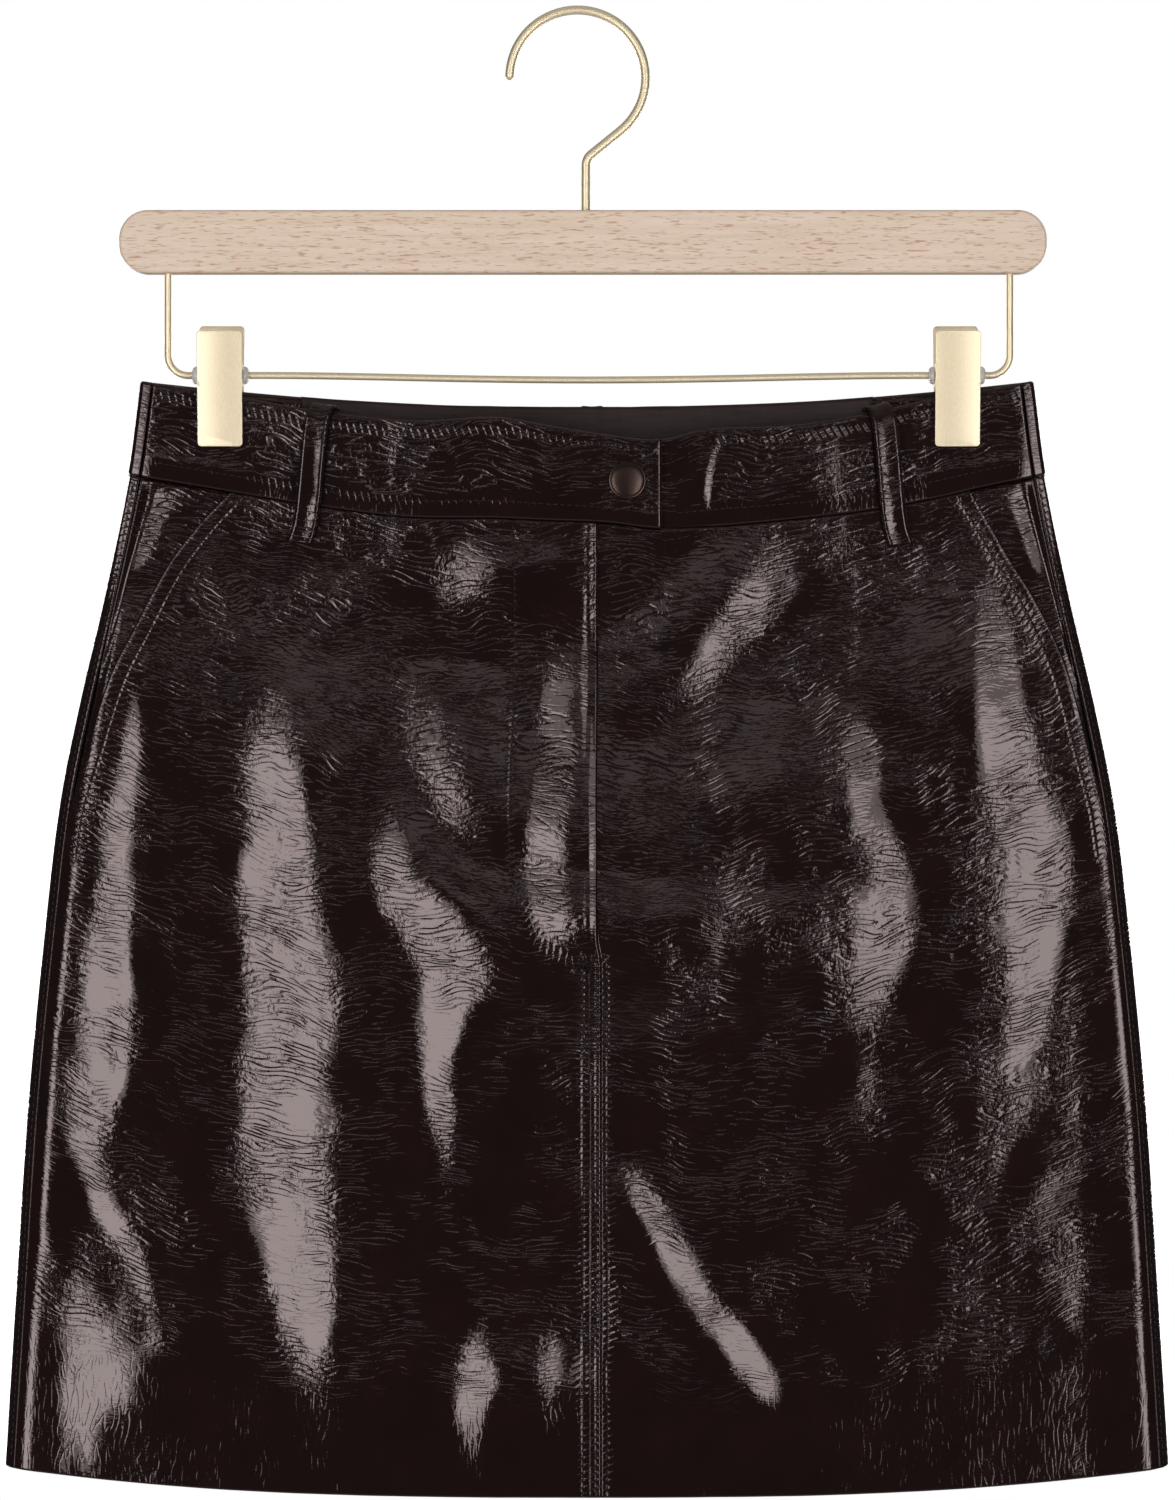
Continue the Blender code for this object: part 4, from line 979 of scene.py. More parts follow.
def crinkle_patent(name, upright_zone=None, strong_zone=None, puckers=True, trough_depth=1.2):
    material, shader = new_material(name)
    chart = add_node(material, "UVMap", uv_map="leather_map")
    at = add_node(material, "Mapping", [("Vector", chart), ("Scale", (1000, 1000, 1))])
    # Everything from here is in millimetres. The grooves sway by a few millimetres over 30.
    sway = add_node(material, "TexNoise", [("Vector", at), ("Scale", 0.032), ("Detail", 1.0)]).node
    sway = add_node(
        material, "VectorMath", [(0, sway.outputs["Color"]), (1, (0.5, 0.5, 0.5))], operation="SUBTRACT"
    )
    sway = add_node(material, "VectorMath", [(0, sway), (1, (8.0, 16.0, 0.0))], operation="MULTIPLY")
    bent = add_node(material, "VectorMath", [(0, at), (1, sway)], operation="ADD")
    # Each groove lies where a stretched noise passes through its middle value.
    grooves = []
    for stretch in ((0.080, 0.46, 1), (0.42, 0.11, 1)):
        noise = add_node(material, "Mapping", [("Vector", bent), ("Scale", stretch)])
        noise = add_node(material, "TexNoise", [("Vector", noise), ("Scale", 1.0), ("Detail", 0.6)])
        off = add_node(material, "Math", [(0, noise), (1, 0.5)], operation="SUBTRACT")
        off = add_node(material, "Math", [(0, off)], operation="ABSOLUTE")
        grooves.append(add_node(material, "ValToRGB", [("Fac", off)], ((0.0, 0.0), (0.085, 1.0))))
    across, upright = grooves
    calm = add_node(material, "TexNoise", [("Vector", at), ("Scale", 0.034), ("Detail", 1.5)])
    calm = add_node(material, "ValToRGB", [("Fac", calm)], ((0.38, 0.20), (0.56, 1.25)))
    # Specks of relief between the grooves break up the edges of each reflection.
    specks = add_node(material, "TexNoise", [("Vector", bent), ("Scale", 0.65), ("Detail", 2.0)])
    height = add_node(material, "Math", [(0, specks), (1, 1.0), (2, across)], operation="MULTIPLY_ADD")
    height = add_node(material, "Math", [(0, height), (1, calm)], operation="MULTIPLY")
    level = add_node(material, "SeparateXYZ", [("Vector", chart)]).node.outputs["Y"]
    if strong_zone:
        start, full, strength = strong_zone
        gain = [("Value", level), (1, start), (2, full), (3, 1.0), (4, strength)]
        gain = add_node(material, "MapRange", gain, clamp=True)
        height = add_node(material, "Math", [(0, height), (1, gain)], operation="MULTIPLY")
    if upright_zone:
        start, full, strength = upright_zone
        share = add_node(
            material, "MapRange", [("Value", level), (1, start), (2, full), (3, 0.0), (4, 1.0)], clamp=True
        )
        upright = add_node(material, "Math", [(0, upright), (1, strength)], operation="MULTIPLY")
        change = add_node(material, "Math", [(0, upright), (1, height)], operation="SUBTRACT")
        height = add_node(material, "Math", [(0, change), (1, share), (2, height)], operation="MULTIPLY_ADD")
    # Finer grooves lie 0.9 mm apart.
    fine = add_node(material, "Mapping", [("Vector", bent), ("Scale", (0.30, 1.1, 1))])
    fine = add_node(material, "TexNoise", [("Vector", fine), ("Scale", 1.0), ("Detail", 1.0)])
    height = add_node(material, "Math", [(0, fine), (1, 0.6), (2, height)], operation="MULTIPLY_ADD")
    if puckers:
        seam = add_node(material, "UVMap", uv_map="seam_map")
        seam = add_node(material, "SeparateXYZ", [("Vector", seam)]).node
        phase = add_node(
            material, "Math", [(0, seam.outputs["X"]), (1, math.tau / STITCH)], operation="MULTIPLY"
        )
        phase = [(0, seam.outputs["Y"]), (1, PUCKER_SLANT), (2, phase)]
        phase = add_node(material, "Math", phase, operation="MULTIPLY_ADD")
        # Each pucker is steep on one side and slopes gently on the other.
        lean = add_node(material, "Math", [(0, phase)], operation="COSINE")
        lean = [(0, lean), (1, PUCKER_LEAN), (2, phase)]
        lean = add_node(material, "Math", lean, operation="MULTIPLY_ADD")
        wave = add_node(material, "Math", [(0, lean)], operation="COSINE")
        close = add_node(material, "Attribute", attribute_name="seam_near").node.outputs["Fac"]
        wave = add_node(material, "Math", [(0, wave), (1, close)], operation="MULTIPLY")
        uneven = add_node(material, "TexNoise", [("Vector", at), ("Scale", 0.12), ("Detail", 1.0)])
        uneven = add_node(material, "ValToRGB", [("Fac", uneven)], ((0.35, 0.6), (0.6, 1.0)))
        wave = add_node(material, "Math", [(0, wave), (1, uneven)], operation="MULTIPLY")
        height = add_node(material, "Math", [(0, wave), (1, 1.5), (2, height)], operation="MULTIPLY_ADD")
        aside = add_node(material, "Math", [(0, seam.outputs["Y"])], operation="ABSOLUTE")
        aside = add_node(material, "Math", [(0, aside), (1, PUCKER_REACH)], operation="DIVIDE")
        trough = add_node(material, "ValToRGB", [("Fac", aside)], ((0.0, 1.0), (0.35, 0.0)))
        trough.node.color_ramp.interpolation = "EASE"
        trough = add_node(material, "Math", [(0, trough), (1, close)], operation="MULTIPLY")
        height = [(0, trough), (1, -trough_depth), (2, height)]
        height = add_node(material, "Math", height, operation="MULTIPLY_ADD")
    relief = add_node(material, "Bump", [("Height", height), ("Strength", 1.0), ("Distance", 0.00010)])
    tone = add_node(material, "TexNoise", [("Vector", at), ("Scale", 0.05), ("Detail", 3.0)])
    tone = add_node(material, "ValToRGB", [("Fac", tone)], ((0.3, "#140A0A"), (0.7, "#1A0D0D")))
    dress(
        material,
        shader,
        {
            "Base Color": tone,
            "Normal": relief,
            "Roughness": 0.07,
            "IOR": 1.5,
            "Specular Tint": linear("#FFECEA"),
        },
    )
    return material


leather = crinkle_patent("crinkled_patent_leather", HEM_CRINKLE, WAIST_CRINKLE)
band_leather = crinkle_patent("crinkled_patent_band_leather", BAND_EDGE_CRINKLE, trough_depth=0.0)
plain_leather = crinkle_patent("crinkled_patent_trim_leather", puckers=False)
pocket_leather = crinkle_patent("crinkled_patent_pocket_leather", strong_zone=POCKET_CRINKLE, puckers=False)


# --- Front panels -----------------------------------------------------------------------------
# Two leather fronts that meet at the centre seam below the fly. The left one laps over the right
# down the fly, both are cut away at the slanted pocket openings, and the hem is turned up inside.

LEATHER_WALL = 0.0015
EDGE_ROUND = 0.0010
PANEL_ACROSS = 0.225
FLY_LAP = 0.008
FLY_SINK = 0.0019
FLY_SINK_RUN = 0.045
FLY_RIB, FLY_RIB_IN, FLY_RIB_WIDTH = 0.0004, 0.0036, 0.0017
PANEL_TUCK, PANEL_SINK = 0.006, 0.0022


def tucked(drop):
    """How far the top allowance is stepped in behind the waistband."""
    return -PANEL_SINK * (1 - smooth((drop + 0.0014) / 0.0020))


def front_left(across, down):
    drop = mix(-PANEL_TUCK, SIDE_LENGTH, down) + 0 * across
    start = pocket_inset(drop, "left") - side_seam(drop) - SEAM_OVERLAP / 2
    end = centre_line(drop) + SEAM_OVERLAP / 2
    x = mix(start, end, across)
    lift = tucked(drop) - rounded_edge(x - start, EDGE_ROUND) - rounded_edge(end - x, EDGE_ROUND)
    lift -= rounded_edge(SIDE_LENGTH - drop, EDGE_ROUND)
    fly = 1 - smooth((drop - FLY_LENGTH + 0.004) / 0.008)
    lift += FLY_RIB * fly * np.exp(-(((end - x - FLY_RIB_IN) / FLY_RIB_WIDTH) ** 2))
    return on_skin(turn_at(x, drop), drop, lift)[0]


def front_right(across, down):
    drop = mix(-PANEL_TUCK, SIDE_LENGTH, down) + 0 * across
    lap = FLY_LAP * (1 - smooth((drop - FLY_LENGTH + 0.030) / 0.020))
    start = centre_line(drop) - SEAM_OVERLAP / 2 - lap
    end = side_seam(drop) + SEAM_OVERLAP / 2 - pocket_inset(drop, "right")
    x = mix(start, end, across)
    under = 1 - smooth((x - centre_line(drop) - SEAM_GAP / 2) / FLY_SINK_RUN)
    lift = tucked(drop) - FLY_SINK * under * (1 - smooth((drop - FLY_LENGTH + 0.008) / 0.022))
    lift -= rounded_edge(x - start, EDGE_ROUND) + rounded_edge(end - x, EDGE_ROUND)
    lift -= rounded_edge(SIDE_LENGTH - drop, EDGE_ROUND)
    return on_skin(turn_at(x, drop), drop, lift)[0]


# The fly's edge and the tucked top have rows of points closer together.
FLY_SHARE, TOP_SHARE = 0.060, 0.030
right_across = spaced(118, PANEL_ACROSS, EDGE_ROUND)
fly_edge = [1 - np.linspace(0.0, FLY_SHARE, 24)[1:], 1 - EDGE_SHARES * EDGE_ROUND / PANEL_ACROSS]
left_across = np.unique(np.concatenate([right_across[right_across < 0.94], *fly_edge]))
down_the_side = spaced(200, SIDE_LENGTH, EDGE_ROUND, before=False)
panel_down = np.unique(np.concatenate([np.linspace(0, TOP_SHARE, 22), down_the_side]))
left_front = leather_piece(
    "front_left_leather", left_across, panel_down, front_left, LEATHER_WALL, leather, "patent_leather",
    "front_left", lines=PANEL_LINES,
)
right_front = leather_piece(
    "front_right_leather", right_across, panel_down, front_right, LEATHER_WALL, leather, "patent_leather",
    "front_right", lines=PANEL_LINES,
)


# --- Zip --------------------------------------------------------------------------------------
# The closed zip lies behind the fly on a woven tape, where the left front hides it.

ZIP_TAPE_WALL = 0.0008
ZIP_HALF_WIDTH = 0.013
ZIP_BEHIND = 0.0042

zip_tape, shader = new_material("woven_zip_tape")
chart = add_node(zip_tape, "UVMap", uv_map="leather_map")
# Ribs of the weave are 0.5 mm apart.
ribs = add_node(zip_tape, "Mapping", [("Vector", chart), ("Scale", (2000, 2000, 1))])
ribs = add_node(zip_tape, "TexWave", [("Vector", ribs), ("Scale", 0.3)], bands_direction="Y")
weave = add_node(zip_tape, "ValToRGB", [("Fac", ribs)], ((0.0, "#120C0C"), (1.0, "#1E1616")))
dress(zip_tape, shader, {"Base Color": weave, "Roughness": 0.8})


def zip_strip(across, down):
    drop = mix(SEAM_GAP / 2, SIDE_LENGTH * 9 / 22, down) + 0 * across
    x = mix(FLY_X - ZIP_HALF_WIDTH, FLY_X + ZIP_HALF_WIDTH, across)
    return on_skin(turn_at(x, drop), drop, np.full(drop.shape, -ZIP_BEHIND))[0]


leather_piece(
    "zip_tape_strip", np.linspace(0, 1, 14), np.linspace(0, 1, 60), zip_strip, ZIP_TAPE_WALL, zip_tape,
    "zip_tape", "fly_zip",
)


# --- Back panel -------------------------------------------------------------------------------
# One plain leather back that wraps round both sides to the side seams, with the same hem as the fronts.


def back(across, down):
    drop = mix(-PANEL_TUCK, SIDE_LENGTH, down) + 0 * across
    seam = side_seam(drop) - SEAM_OVERLAP / 2
    turn = mix(turn_at(seam, drop), 2 + turn_at(-seam, drop), across)
    width = 2 * half_width(drop)
    lift = tucked(drop) - rounded_edge(across * width, EDGE_ROUND)
    lift -= rounded_edge((1 - across) * width, EDGE_ROUND) + rounded_edge(SIDE_LENGTH - drop, EDGE_ROUND)
    return on_skin(turn, drop, lift)[0]


back_across = spaced(206, 0.470, EDGE_ROUND)
back_piece = leather_piece(
    "back_leather", back_across, panel_down, back, LEATHER_WALL, leather, "patent_leather", "back_panel",
    lines=PANEL_LINES,
)


# --- Pocket facings ---------------------------------------------------------------------------
# The leather seen in each slanted opening, joined at the side seam and tucked under the front.

FACING_DEPTH = 0.0023
FACING_WALL = 0.0012
FACING_TUCK = 0.012
FACING_HOLLOW_SLOPE, FACING_HOLLOW_END, FACING_SINKS_IN = 0.2, 0.5, 0.17
for side, sign in (("left", -1), ("right", 1)):

    def facing(across, down, side=side, sign=sign):
        drop = mix(SEAM_GAP / 2, SIDE_LENGTH * 8 / 22, down) + 0 * across
        edge = side_seam(drop) - SEAM_GAP / 2
        opening = edge - np.maximum(pocket_inset(drop, side), 0.002)
        share = across if side == "left" else 1 - across
        reach = mix(edge, opening - FACING_TUCK, share)
        place = np.clip((edge - reach) / (edge - opening), 0, 1)
        sunk = smooth(place / FACING_SINKS_IN)
        outer = smooth((drop - 0.050) / 0.035)
        lift = -FACING_DEPTH * mix(outer, 1.0, sunk) - rounded_edge(edge - reach, EDGE_ROUND) * (1 - outer)
        # Above, the facing is hollow just inside the seam and swells out again towards the opening.
        hollow = FACING_HOLLOW_SLOPE * (edge - opening) * np.clip(FACING_HOLLOW_END - place, 0, 1)
        lift -= hollow * sunk * smooth(drop / 0.008) * (1 - smooth((drop - 0.026) / 0.014))
        return on_skin(turn_at(sign * reach, drop), drop, lift)[0]

    leather_piece(
        f"pocket_facing_{side}_leather",
        spaced(26, 0.035, EDGE_ROUND, before=side == "left", after=side == "right"),
        np.linspace(0, 1, 76),
        facing,
        FACING_WALL,
        pocket_leather,
        "patent_leather",
        f"pocket_facing_{side}",
    )


# --- Waistband --------------------------------------------------------------------------------
# A contoured band of doubled leather. Its left end laps over the right as a tab with a press stud;
# the back is faced inside with ribbed satin.

BAND_WALL = 0.0026
BAND_ROUND = 0.0013
UNDERLAP_X = -0.004
UNDERLAP_SINK, UNDERLAP_STEP = 0.0030, 0.0014
UNDERLAP_FLAT = 0.0145
UNDERLAP_SLANT = 0.005
UNDERLAP_RISE, UNDERLAP_SOFTEN = 0.0042, 0.0070


def band_drop(down):
    return mix(-BAND_HEIGHT, -SEAM_GAP / 2, down)


def band_ends(drop):
    return -rounded_edge(drop + BAND_HEIGHT, BAND_ROUND) - rounded_edge(-SEAM_GAP / 2 - drop, BAND_ROUND)


def underlap(x, drop):
    """How far the right band is sunk under the tab.

    It comes up slowly, the last of it at a slanting crease.
    """
    flat = UNDERLAP_FLAT - UNDERLAP_SLANT * drop / BAND_HEIGHT
    off_middle = 2 * drop / BAND_HEIGHT + 1
    crease = UNDERLAP_RISE + UNDERLAP_SOFTEN * off_middle**2
    slow = 1 - smooth((x - TAB_END_X) / (flat + 0.004))
    last = 1 - smooth((x - TAB_END_X - flat) / crease)
    return (UNDERLAP_SINK - UNDERLAP_STEP) * slow + UNDERLAP_STEP * last


def band_left(across, down):
    drop = band_drop(down) + 0 * across
    start = SEAM_GAP / 2 - side_seam(drop)
    x = mix(start, TAB_END_X, across)
    lift = BAND_LIFT + band_ends(drop) - rounded_edge(x - start, EDGE_ROUND)
    lift -= rounded_edge(TAB_END_X - x, BAND_ROUND)
    return on_skin(turn_at(x, drop), drop, lift)[0]


def band_right(across, down):
    drop = band_drop(down) + 0 * across
    end = side_seam(drop) - SEAM_GAP / 2
    x = mix(UNDERLAP_X, end, across)
    lift = BAND_LIFT - underlap(x, drop) + band_ends(drop) - rounded_edge(end - x, EDGE_ROUND)
    return on_skin(turn_at(x, drop), drop, lift)[0]


def band_back(across, down):
    drop = band_drop(down) + 0 * across
    seam = side_seam(drop) + SEAM_GAP / 2
    turn = mix(turn_at(seam, drop), 2 + turn_at(-seam, drop), across)
    width = 2 * half_width(drop)
    lift = BAND_LIFT + band_ends(drop)
    lift = lift - rounded_edge(across * width, EDGE_ROUND) - rounded_edge((1 - across) * width, EDGE_ROUND)
    return on_skin(turn, drop, lift)[0]


band_down = spaced(32, BAND_HEIGHT, BAND_ROUND)
left_band = leather_piece(
    "waistband_left_leather", spaced(130, 0.205, BAND_ROUND), band_down, band_left, BAND_WALL,
    band_leather, "patent_leather", "waistband_front_left", lines=BAND_LINES, lift=BAND_LIFT,
)
right_band = leather_piece(
    "waistband_right_leather", spaced(118, 0.180, BAND_ROUND, before=False), band_down, band_right,
    BAND_WALL, band_leather, "patent_leather", "waistband_front_right", lines=BAND_LINES, lift=BAND_LIFT,
)
back_band = leather_piece(
    "waistband_back_leather", spaced(190, 0.360, BAND_ROUND), band_down, band_back, BAND_WALL,
    band_leather, "patent_leather", "waistband_back", lines=BAND_LINES, lift=BAND_LIFT,
)

satin, shader = new_material("ribbed_satin")
chart = add_node(satin, "UVMap", uv_map="leather_map")
# Ribs lie across the height, 1.1 mm apart, with a faint upright slub.
ribs = add_node(satin, "Mapping", [("Vector", chart), ("Scale", (60, 900, 1))])
ribs = add_node(satin, "TexNoise", [("Vector", ribs), ("Scale", 1.0), ("Detail", 2.0)])
slubs = add_node(satin, "Mapping", [("Vector", chart), ("Location", (3, 0, 0)), ("Scale", (260, 20, 1))])
slubs = add_node(satin, "TexNoise", [("Vector", slubs), ("Scale", 1.0), ("Detail", 2.0)])
weave = add_node(satin, "Math", [(0, slubs), (1, 0.5), (2, ribs)], operation="MULTIPLY_ADD")
tone = add_node(satin, "ValToRGB", [("Fac", weave)], ((0.5, "#1A0F0E"), (1.0, "#2B1C1B")))
rib_bump = add_node(satin, "Bump", [("Height", weave), ("Strength", 0.6), ("Distance", 0.0002)])
dress(
    satin, shader, {"Base Color": tone, "Normal": rib_bump, "Roughness": 0.6, "Specular IOR Level": 0.25}
)


def band_facing(across, down):
    drop = band_drop(down) + 0 * across
    x = mix(0.115, -0.115, across)
    return on_skin(turn_at(x, drop, "back"), drop, np.full(drop.shape, BAND_LIFT - BAND_WALL - 0.0004))[0]


satin_facing = leather_piece(
    "waistband_satin_facing", np.linspace(0, 1, 100), np.linspace(0, 1, 22), band_facing, 0.0010, satin,
    "satin", "waistband_back_facing",
)


# --- Belt loops -------------------------------------------------------------------------------
# Strips of leather folded to 10 mm, their stitching along both edges left out. Each goes over the band's top
# edge, stands clear of the band and is tacked down below the waist seam.

LOOP_WIDTH = 0.0098
LOOP_WALL = 0.0022
LOOP_EDGE = 0.0016
LOOP_HOLLOW = 0.0003
# columns: drop from the band's top, lift of the middle line from the panel's face
LOOP_PATH = np.array(
    (
        (-0.0016, -0.0010),
        (-0.0017, 0.0012),
        (0.0004, 0.0027),
        (0.0060, 0.0042),
        (0.0190, 0.0048),
        (0.0330, 0.0044),
        (0.0430, 0.0026),
        (0.0490, 0.0016),
        (0.0530, 0.0015),
    )
)
BELT_LOOPS = {
    "belt_loop_front_left": (-0.1036, -0.1148, "front"),
    "belt_loop_front_right": (0.1146, 0.1252, "front"),
    "belt_loop_back": (0.0020, 0.0020, "back"),
}
loop_steps = np.arange(len(LOOP_PATH), dtype=float)
loop_pieces = {}
for loop_name, (top_x, low_x, loop_face) in BELT_LOOPS.items():

    def loop_strip(across, down, top_x=top_x, low_x=low_x, loop_face=loop_face):
        at = down * (len(LOOP_PATH) - 1)
        table_drop = np.column_stack([loop_steps, LOOP_PATH])
        drop, lift = read(table_drop, 1, at), read(table_drop, 2, at)
        step = 0.05
        run_drop = read(table_drop, 1, at + step) - read(table_drop, 1, at - step)
        run_lift = read(table_drop, 2, at + step) - read(table_drop, 2, at - step)
        size = np.hypot(run_drop, run_lift)
        edge_fall = rounded_edge(across * LOOP_WIDTH, LOOP_EDGE)
        edge_fall = edge_fall + rounded_edge((1 - across) * LOOP_WIDTH, LOOP_EDGE)
        hollow = LOOP_HOLLOW * np.sin(np.pi * across) ** 2
        out = LOOP_WALL / 2 - edge_fall - hollow
        drop = drop - run_lift / size * out - BAND_HEIGHT
        lift = lift + run_drop / size * out
        drop = drop + (0.0 if loop_face == "front" else 0.0022)
        sideways = across - 0.5 if loop_face == "front" else 0.5 - across
        x = mix(top_x, low_x, down) + sideways * LOOP_WIDTH
        return on_skin(turn_at(x, drop, loop_face), drop, lift)[0]

    loop_pieces[loop_name] = leather_piece(
        f"{loop_name}_leather",
        spaced(22, LOOP_WIDTH, LOOP_EDGE),
        np.linspace(0, 1, 64),
        loop_strip,
        LOOP_WALL,
        plain_leather,
        "patent_leather",
        loop_name,
    )


# --- Press stud -------------------------------------------------------------------------------
# A domed brass cap with a turned rim, plated dark bronze and left satin.

dark_bronze, shader = new_material("dark_bronze_plate")
place = add_node(dark_bronze, "TexCoord").node.outputs["Object"]
fine = add_node(dark_bronze, "TexNoise", [("Vector", place), ("Scale", 3000.0), ("Detail", 2.0)])
fine = add_node(dark_bronze, "ValToRGB", [("Fac", fine)], ((0.3, "#372C28"), (0.7, "#413531")))
dress(dark_bronze, shader, {"Base Color": fine, "Metallic": 1.0, "Roughness": 0.33})
SNAP_X, SNAP_HEIGHT, SNAP_RADIUS, SNAP_DOME, SNAP_RIM = 0.0160, 0.51, 0.0075, 0.0020, 0.0007
snap_drop = np.array([-SNAP_HEIGHT * BAND_HEIGHT])
snap_turn = turn_at(np.array([SNAP_X]), snap_drop)
snap_at, snap_out = (found[0] for found in on_skin(snap_turn, snap_drop, np.array([BAND_LIFT + SEAM_GAP])))
profile = [(0.0, 0.0), (SNAP_RADIUS - 0.0002, 0.0), (SNAP_RADIUS, 0.0002), (SNAP_RADIUS, SNAP_RIM - 0.0001)]
profile += [(SNAP_RADIUS - 0.0002, SNAP_RIM + 0.0001), (SNAP_RADIUS - 0.0006, SNAP_RIM + 0.0001)]
for step in range(1, 13):
    angle = math.radians(90 * step / 12)
    from_axis = (SNAP_RADIUS - 0.0007) * math.cos(angle) if step < 12 else 0.0
    profile.append((from_axis, SNAP_RIM + (SNAP_DOME - SNAP_RIM) * math.sin(angle)))
snap = bmesh.new()
ring = [snap.verts.new((radius, 0.0, along)) for radius, along in profile]
edges = [snap.edges.new(pair) for pair in zip(ring, ring[1:])]
bmesh.ops.spin(
    snap, geom=ring + edges, cent=(0, 0, 0), axis=(0, 0, 1), angle=math.tau, steps=48, use_merge=True
)
bmesh.ops.remove_doubles(snap, verts=snap.verts, dist=0.000001)
bmesh.ops.recalc_face_normals(snap, faces=snap.faces)
turn_out = Vector(snap_out).to_track_quat("Z", "Y").to_matrix().to_4x4()
bmesh.ops.transform(snap, matrix=Matrix.Translation(Vector(snap_at)) @ turn_out, verts=snap.verts)
for facet in snap.faces:
    facet.smooth = True
snap_piece = finish_piece(snap, "press_stud_cap", dark_bronze, "snap_metal", "snap_cap")
snap_piece.data.set_sharp_from_angle(angle=math.radians(50))


# --- Stitching --------------------------------------------------------------------------------
# Bonded polyester thread in the leather's colour, 2.9 mm to a stitch, sunk between the holes.

THREAD = 0.00055
thread, shader = new_material("bonded_polyester_thread")
place = add_node(thread, "TexCoord").node.outputs["Object"]
strands = add_node(thread, "TexNoise", [("Vector", place), ("Scale", 2500.0), ("Detail", 1.0)])
strands = add_node(thread, "ValToRGB", [("Fac", strands)], ((0.3, "#0E0808"), (0.7, "#170E0E")))
dress(thread, shader, {"Base Color": strands, "Roughness": 0.5, "Specular IOR Level": 0.3})

one_stitch = bpy.data.meshes.new("one_stitch")
template = bmesh.new()
bmesh.ops.create_uvsphere(template, u_segments=6, v_segments=5, radius=0.5)
for vert in template.verts:
    vert.co = Vector((vert.co.x * THREAD, vert.co.y * THREAD, vert.co.z * STITCH * 0.86))
    vert.co.x -= THREAD * 1.2 * (vert.co.z / STITCH) ** 2
template.to_mesh(one_stitch)
template.free()


def stitch_row(holder, turns, drops, lift):
    """Adds one row of stitches along a line on the skirt to a bmesh."""
    points, outward = on_skin(turns, drops, np.broadcast_to(lift, np.shape(drops)))
    length = np.concatenate([[0], np.linalg.norm(np.diff(points, axis=0), axis=1).cumsum()])
    for middle in np.arange(STITCH / 2, length[-1], STITCH):
        ends = (middle - STITCH / 2, middle, middle + STITCH / 2)
        behind, at, ahead = ([np.interp(end, length, points[:, i]) for i in range(3)] for end in ends)
        out = Vector([np.interp(middle, length, outward[:, i]) for i in range(3)]).normalized()
        along = (Vector(ahead) - Vector(behind)).normalized()
        side = out.cross(along).normalized()
        out = along.cross(side)
        turned = Matrix((out, side, along)).transposed().to_4x4()
        start = len(holder.verts)
        holder.from_mesh(one_stitch)
        holder.verts.ensure_lookup_table()
        bmesh.ops.transform(holder, matrix=Matrix.Translation(at) @ turned, verts=holder.verts[start:])


seams = bmesh.new()
for xs, drops, face, *_ in PANEL_LINES:
    stitch_row(seams, turn_at(xs, drops, face), drops, 0.0)
seam_stitches = finish_piece(seams, "panel_stitches", thread, "patent_leather")
bands = bmesh.new()
for xs, drops, face, *_ in BAND_LINES:
    lap = np.where((xs > TAB_END_X) & (face == "front"), underlap(xs, drops), 0.0)
    stitch_row(bands, turn_at(xs, drops, face), drops, BAND_LIFT - lap)
band_stitches = finish_piece(bands, "waistband_stitches", thread, "patent_leather")
for stitched in (seam_stitches, band_stitches):
    stitched.data.shade_smooth()
bpy.data.meshes.remove(one_stitch)


# --- Room -------------------------------------------------------------------------------------
# A pale floor well below the hem, a pale room, and tall soft boxes on both sides, before and behind.

FLOOR_Z = -1.6
floor_paint, shader = new_material("pale_floor_paint")
place = add_node(floor_paint, "TexCoord").node.outputs["Object"]
mottle = add_node(floor_paint, "TexNoise", [("Vector", place), ("Scale", 3.0), ("Detail", 3.0)])
mottle = add_node(floor_paint, "ValToRGB", [("Fac", mottle)], ((0.3, "#EDECEA"), (0.7, "#F1F0EE")))
# A faint glow keeps the floor pale from every side.
dress(
    floor_paint,
    shader,
    {"Base Color": mottle, "Roughness": 0.9, "Emission Color": mottle, "Emission Strength": 0.6},
)
floor_mesh = bmesh.new()
bmesh.ops.create_circle(floor_mesh, cap_ends=True, segments=96, radius=8.0)
bmesh.ops.translate(floor_mesh, vec=(0, 0, FLOOR_Z), verts=floor_mesh.verts)
floor_data = bpy.data.meshes.new("floor")
floor_mesh.to_mesh(floor_data)
floor_mesh.free()
floor_data.materials.append(floor_paint)
floor = bpy.data.objects.new("floor", floor_data)
bpy.context.scene.collection.objects.link(floor)
floor.visible_glossy = False
floor.visible_diffuse = False


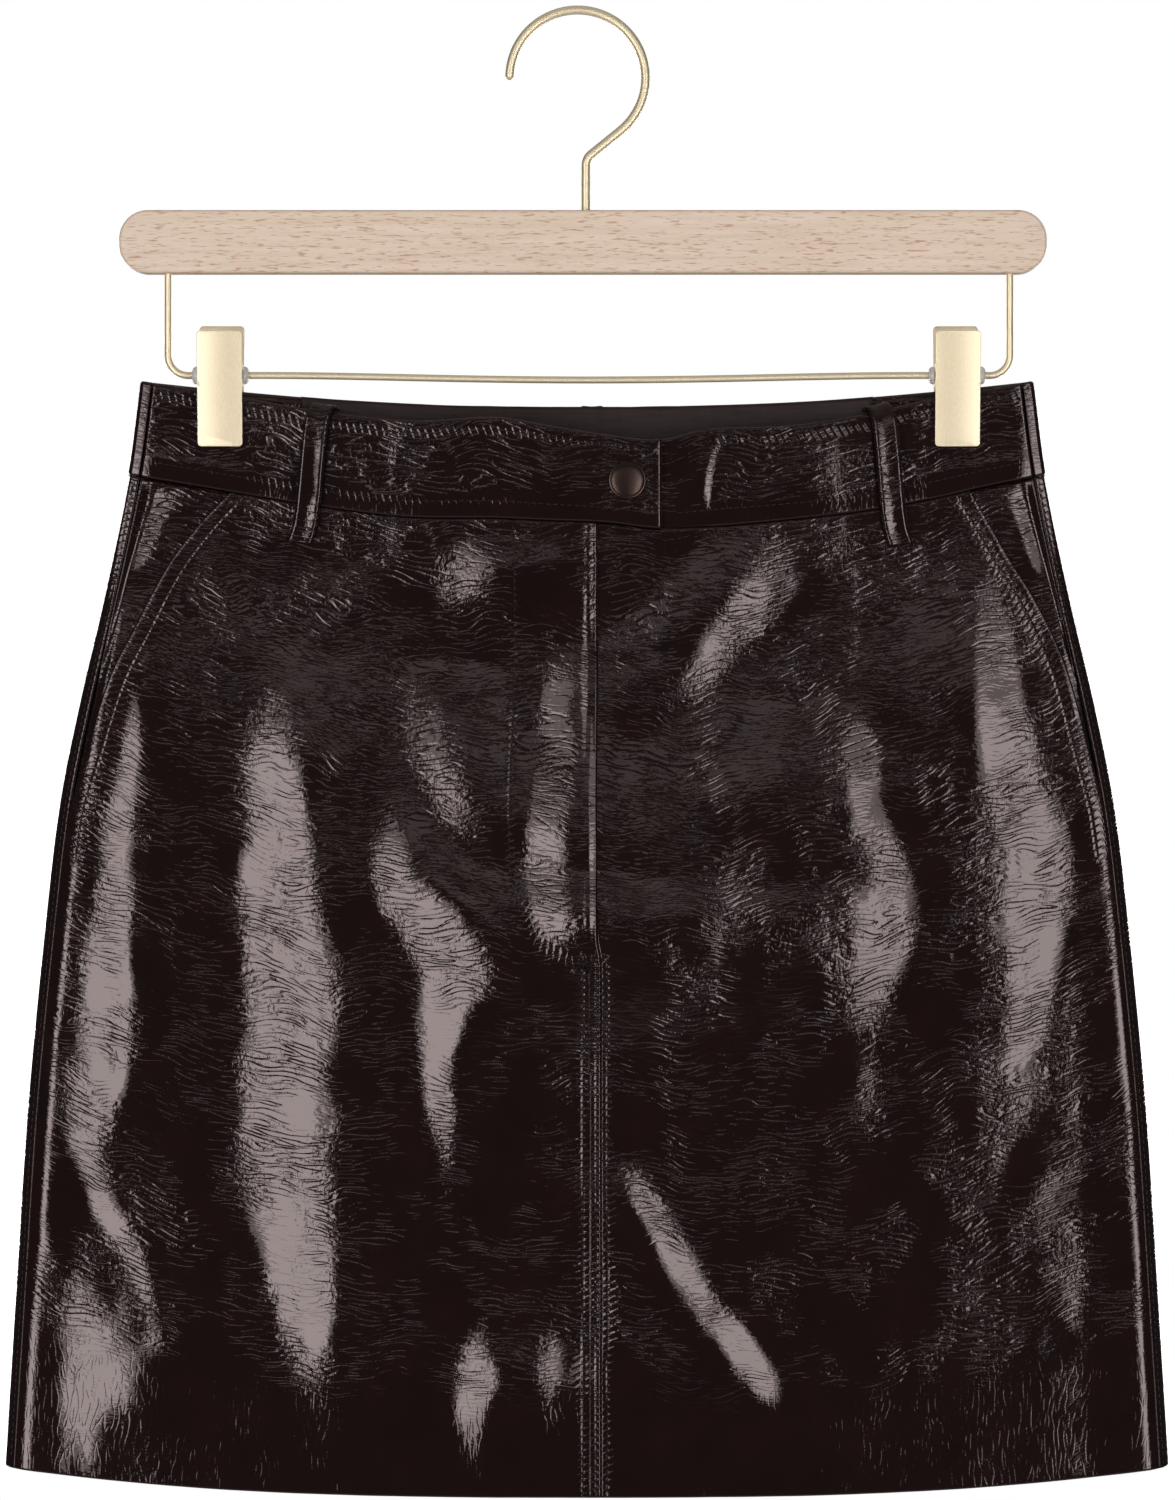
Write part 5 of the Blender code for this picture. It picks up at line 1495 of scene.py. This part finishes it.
def soft_box(name, place, aim, width, height, radiance):
    """A rectangular lamp that gives off the same radiance whatever its size."""
    lamp = bpy.data.lights.new(name, "AREA")
    lamp.shape = "RECTANGLE"
    lamp.size, lamp.size_y = width, height
    lamp.energy = radiance * math.pi * width * height
    holder = bpy.data.objects.new(name, lamp)
    holder.location = place
    holder.rotation_euler = (Vector(aim) - Vector(place)).to_track_quat("-Z", "Y").to_euler()
    holder.visible_camera = False
    bpy.context.scene.collection.objects.link(holder)
    return holder


# Each tall soft box is brightest in its lower middle. A dim strip above shows in leather that faces
# upwards, and a broad fill evens out the matt surfaces only.
for face, y in (("front", -1.72), ("back", 1.72)):
    for side, x, level in (("left", -1.02, 1.0), ("right", 1.02, 0.92)):
        soft_box(f"soft_box_{face}_{side}", (x, y, -0.20), (0, 0, -0.3), 0.78, 1.6, 2.4 * level)
        soft_box(f"soft_box_core_{face}_{side}", (x, y, -0.76), (0, 0, -0.76), 0.46, 1.6, 5.2 * level)
    soft_box(f"strip_above_{face}", (0.0, 1.4 * y, 0.62), (0, 0, -0.25), 1.5, 0.45, 0.8)
    fill = soft_box(f"fill_{face}", (0.0, 1.6 * y, 0.5), (0, 0, -0.3), 2.4, 2.0, 1.05)
    fill.visible_glossy = False

world = bpy.data.worlds.new("pale_room")
bpy.context.scene.world = world
world.use_nodes = True
sky = add_node(world, "TexCoord").node.outputs["Generated"]
up = add_node(world, "SeparateXYZ", [("Vector", sky)]).node.outputs["Z"]
up = add_node(world, "Math", [(0, up)], operation="ABSOLUTE")
up = add_node(world, "ValToRGB", [("Fac", up)], ((0.50, 0.05), (1.0, 0.5)))
room_light = add_node(world, "Background", [("Color", up), ("Strength", 1.0)])
white = add_node(world, "Background", [("Color", (1, 1, 1, 1)), ("Strength", 1.0)])
seen = add_node(world, "LightPath").node.outputs["Is Camera Ray"]
either = add_node(world, "MixShader", [("Fac", seen), (1, room_light), (2, white)])
world.node_tree.links.new(either, world.node_tree.nodes["World Output"].inputs["Surface"])
bpy.context.scene.view_settings.view_transform = "Standard"
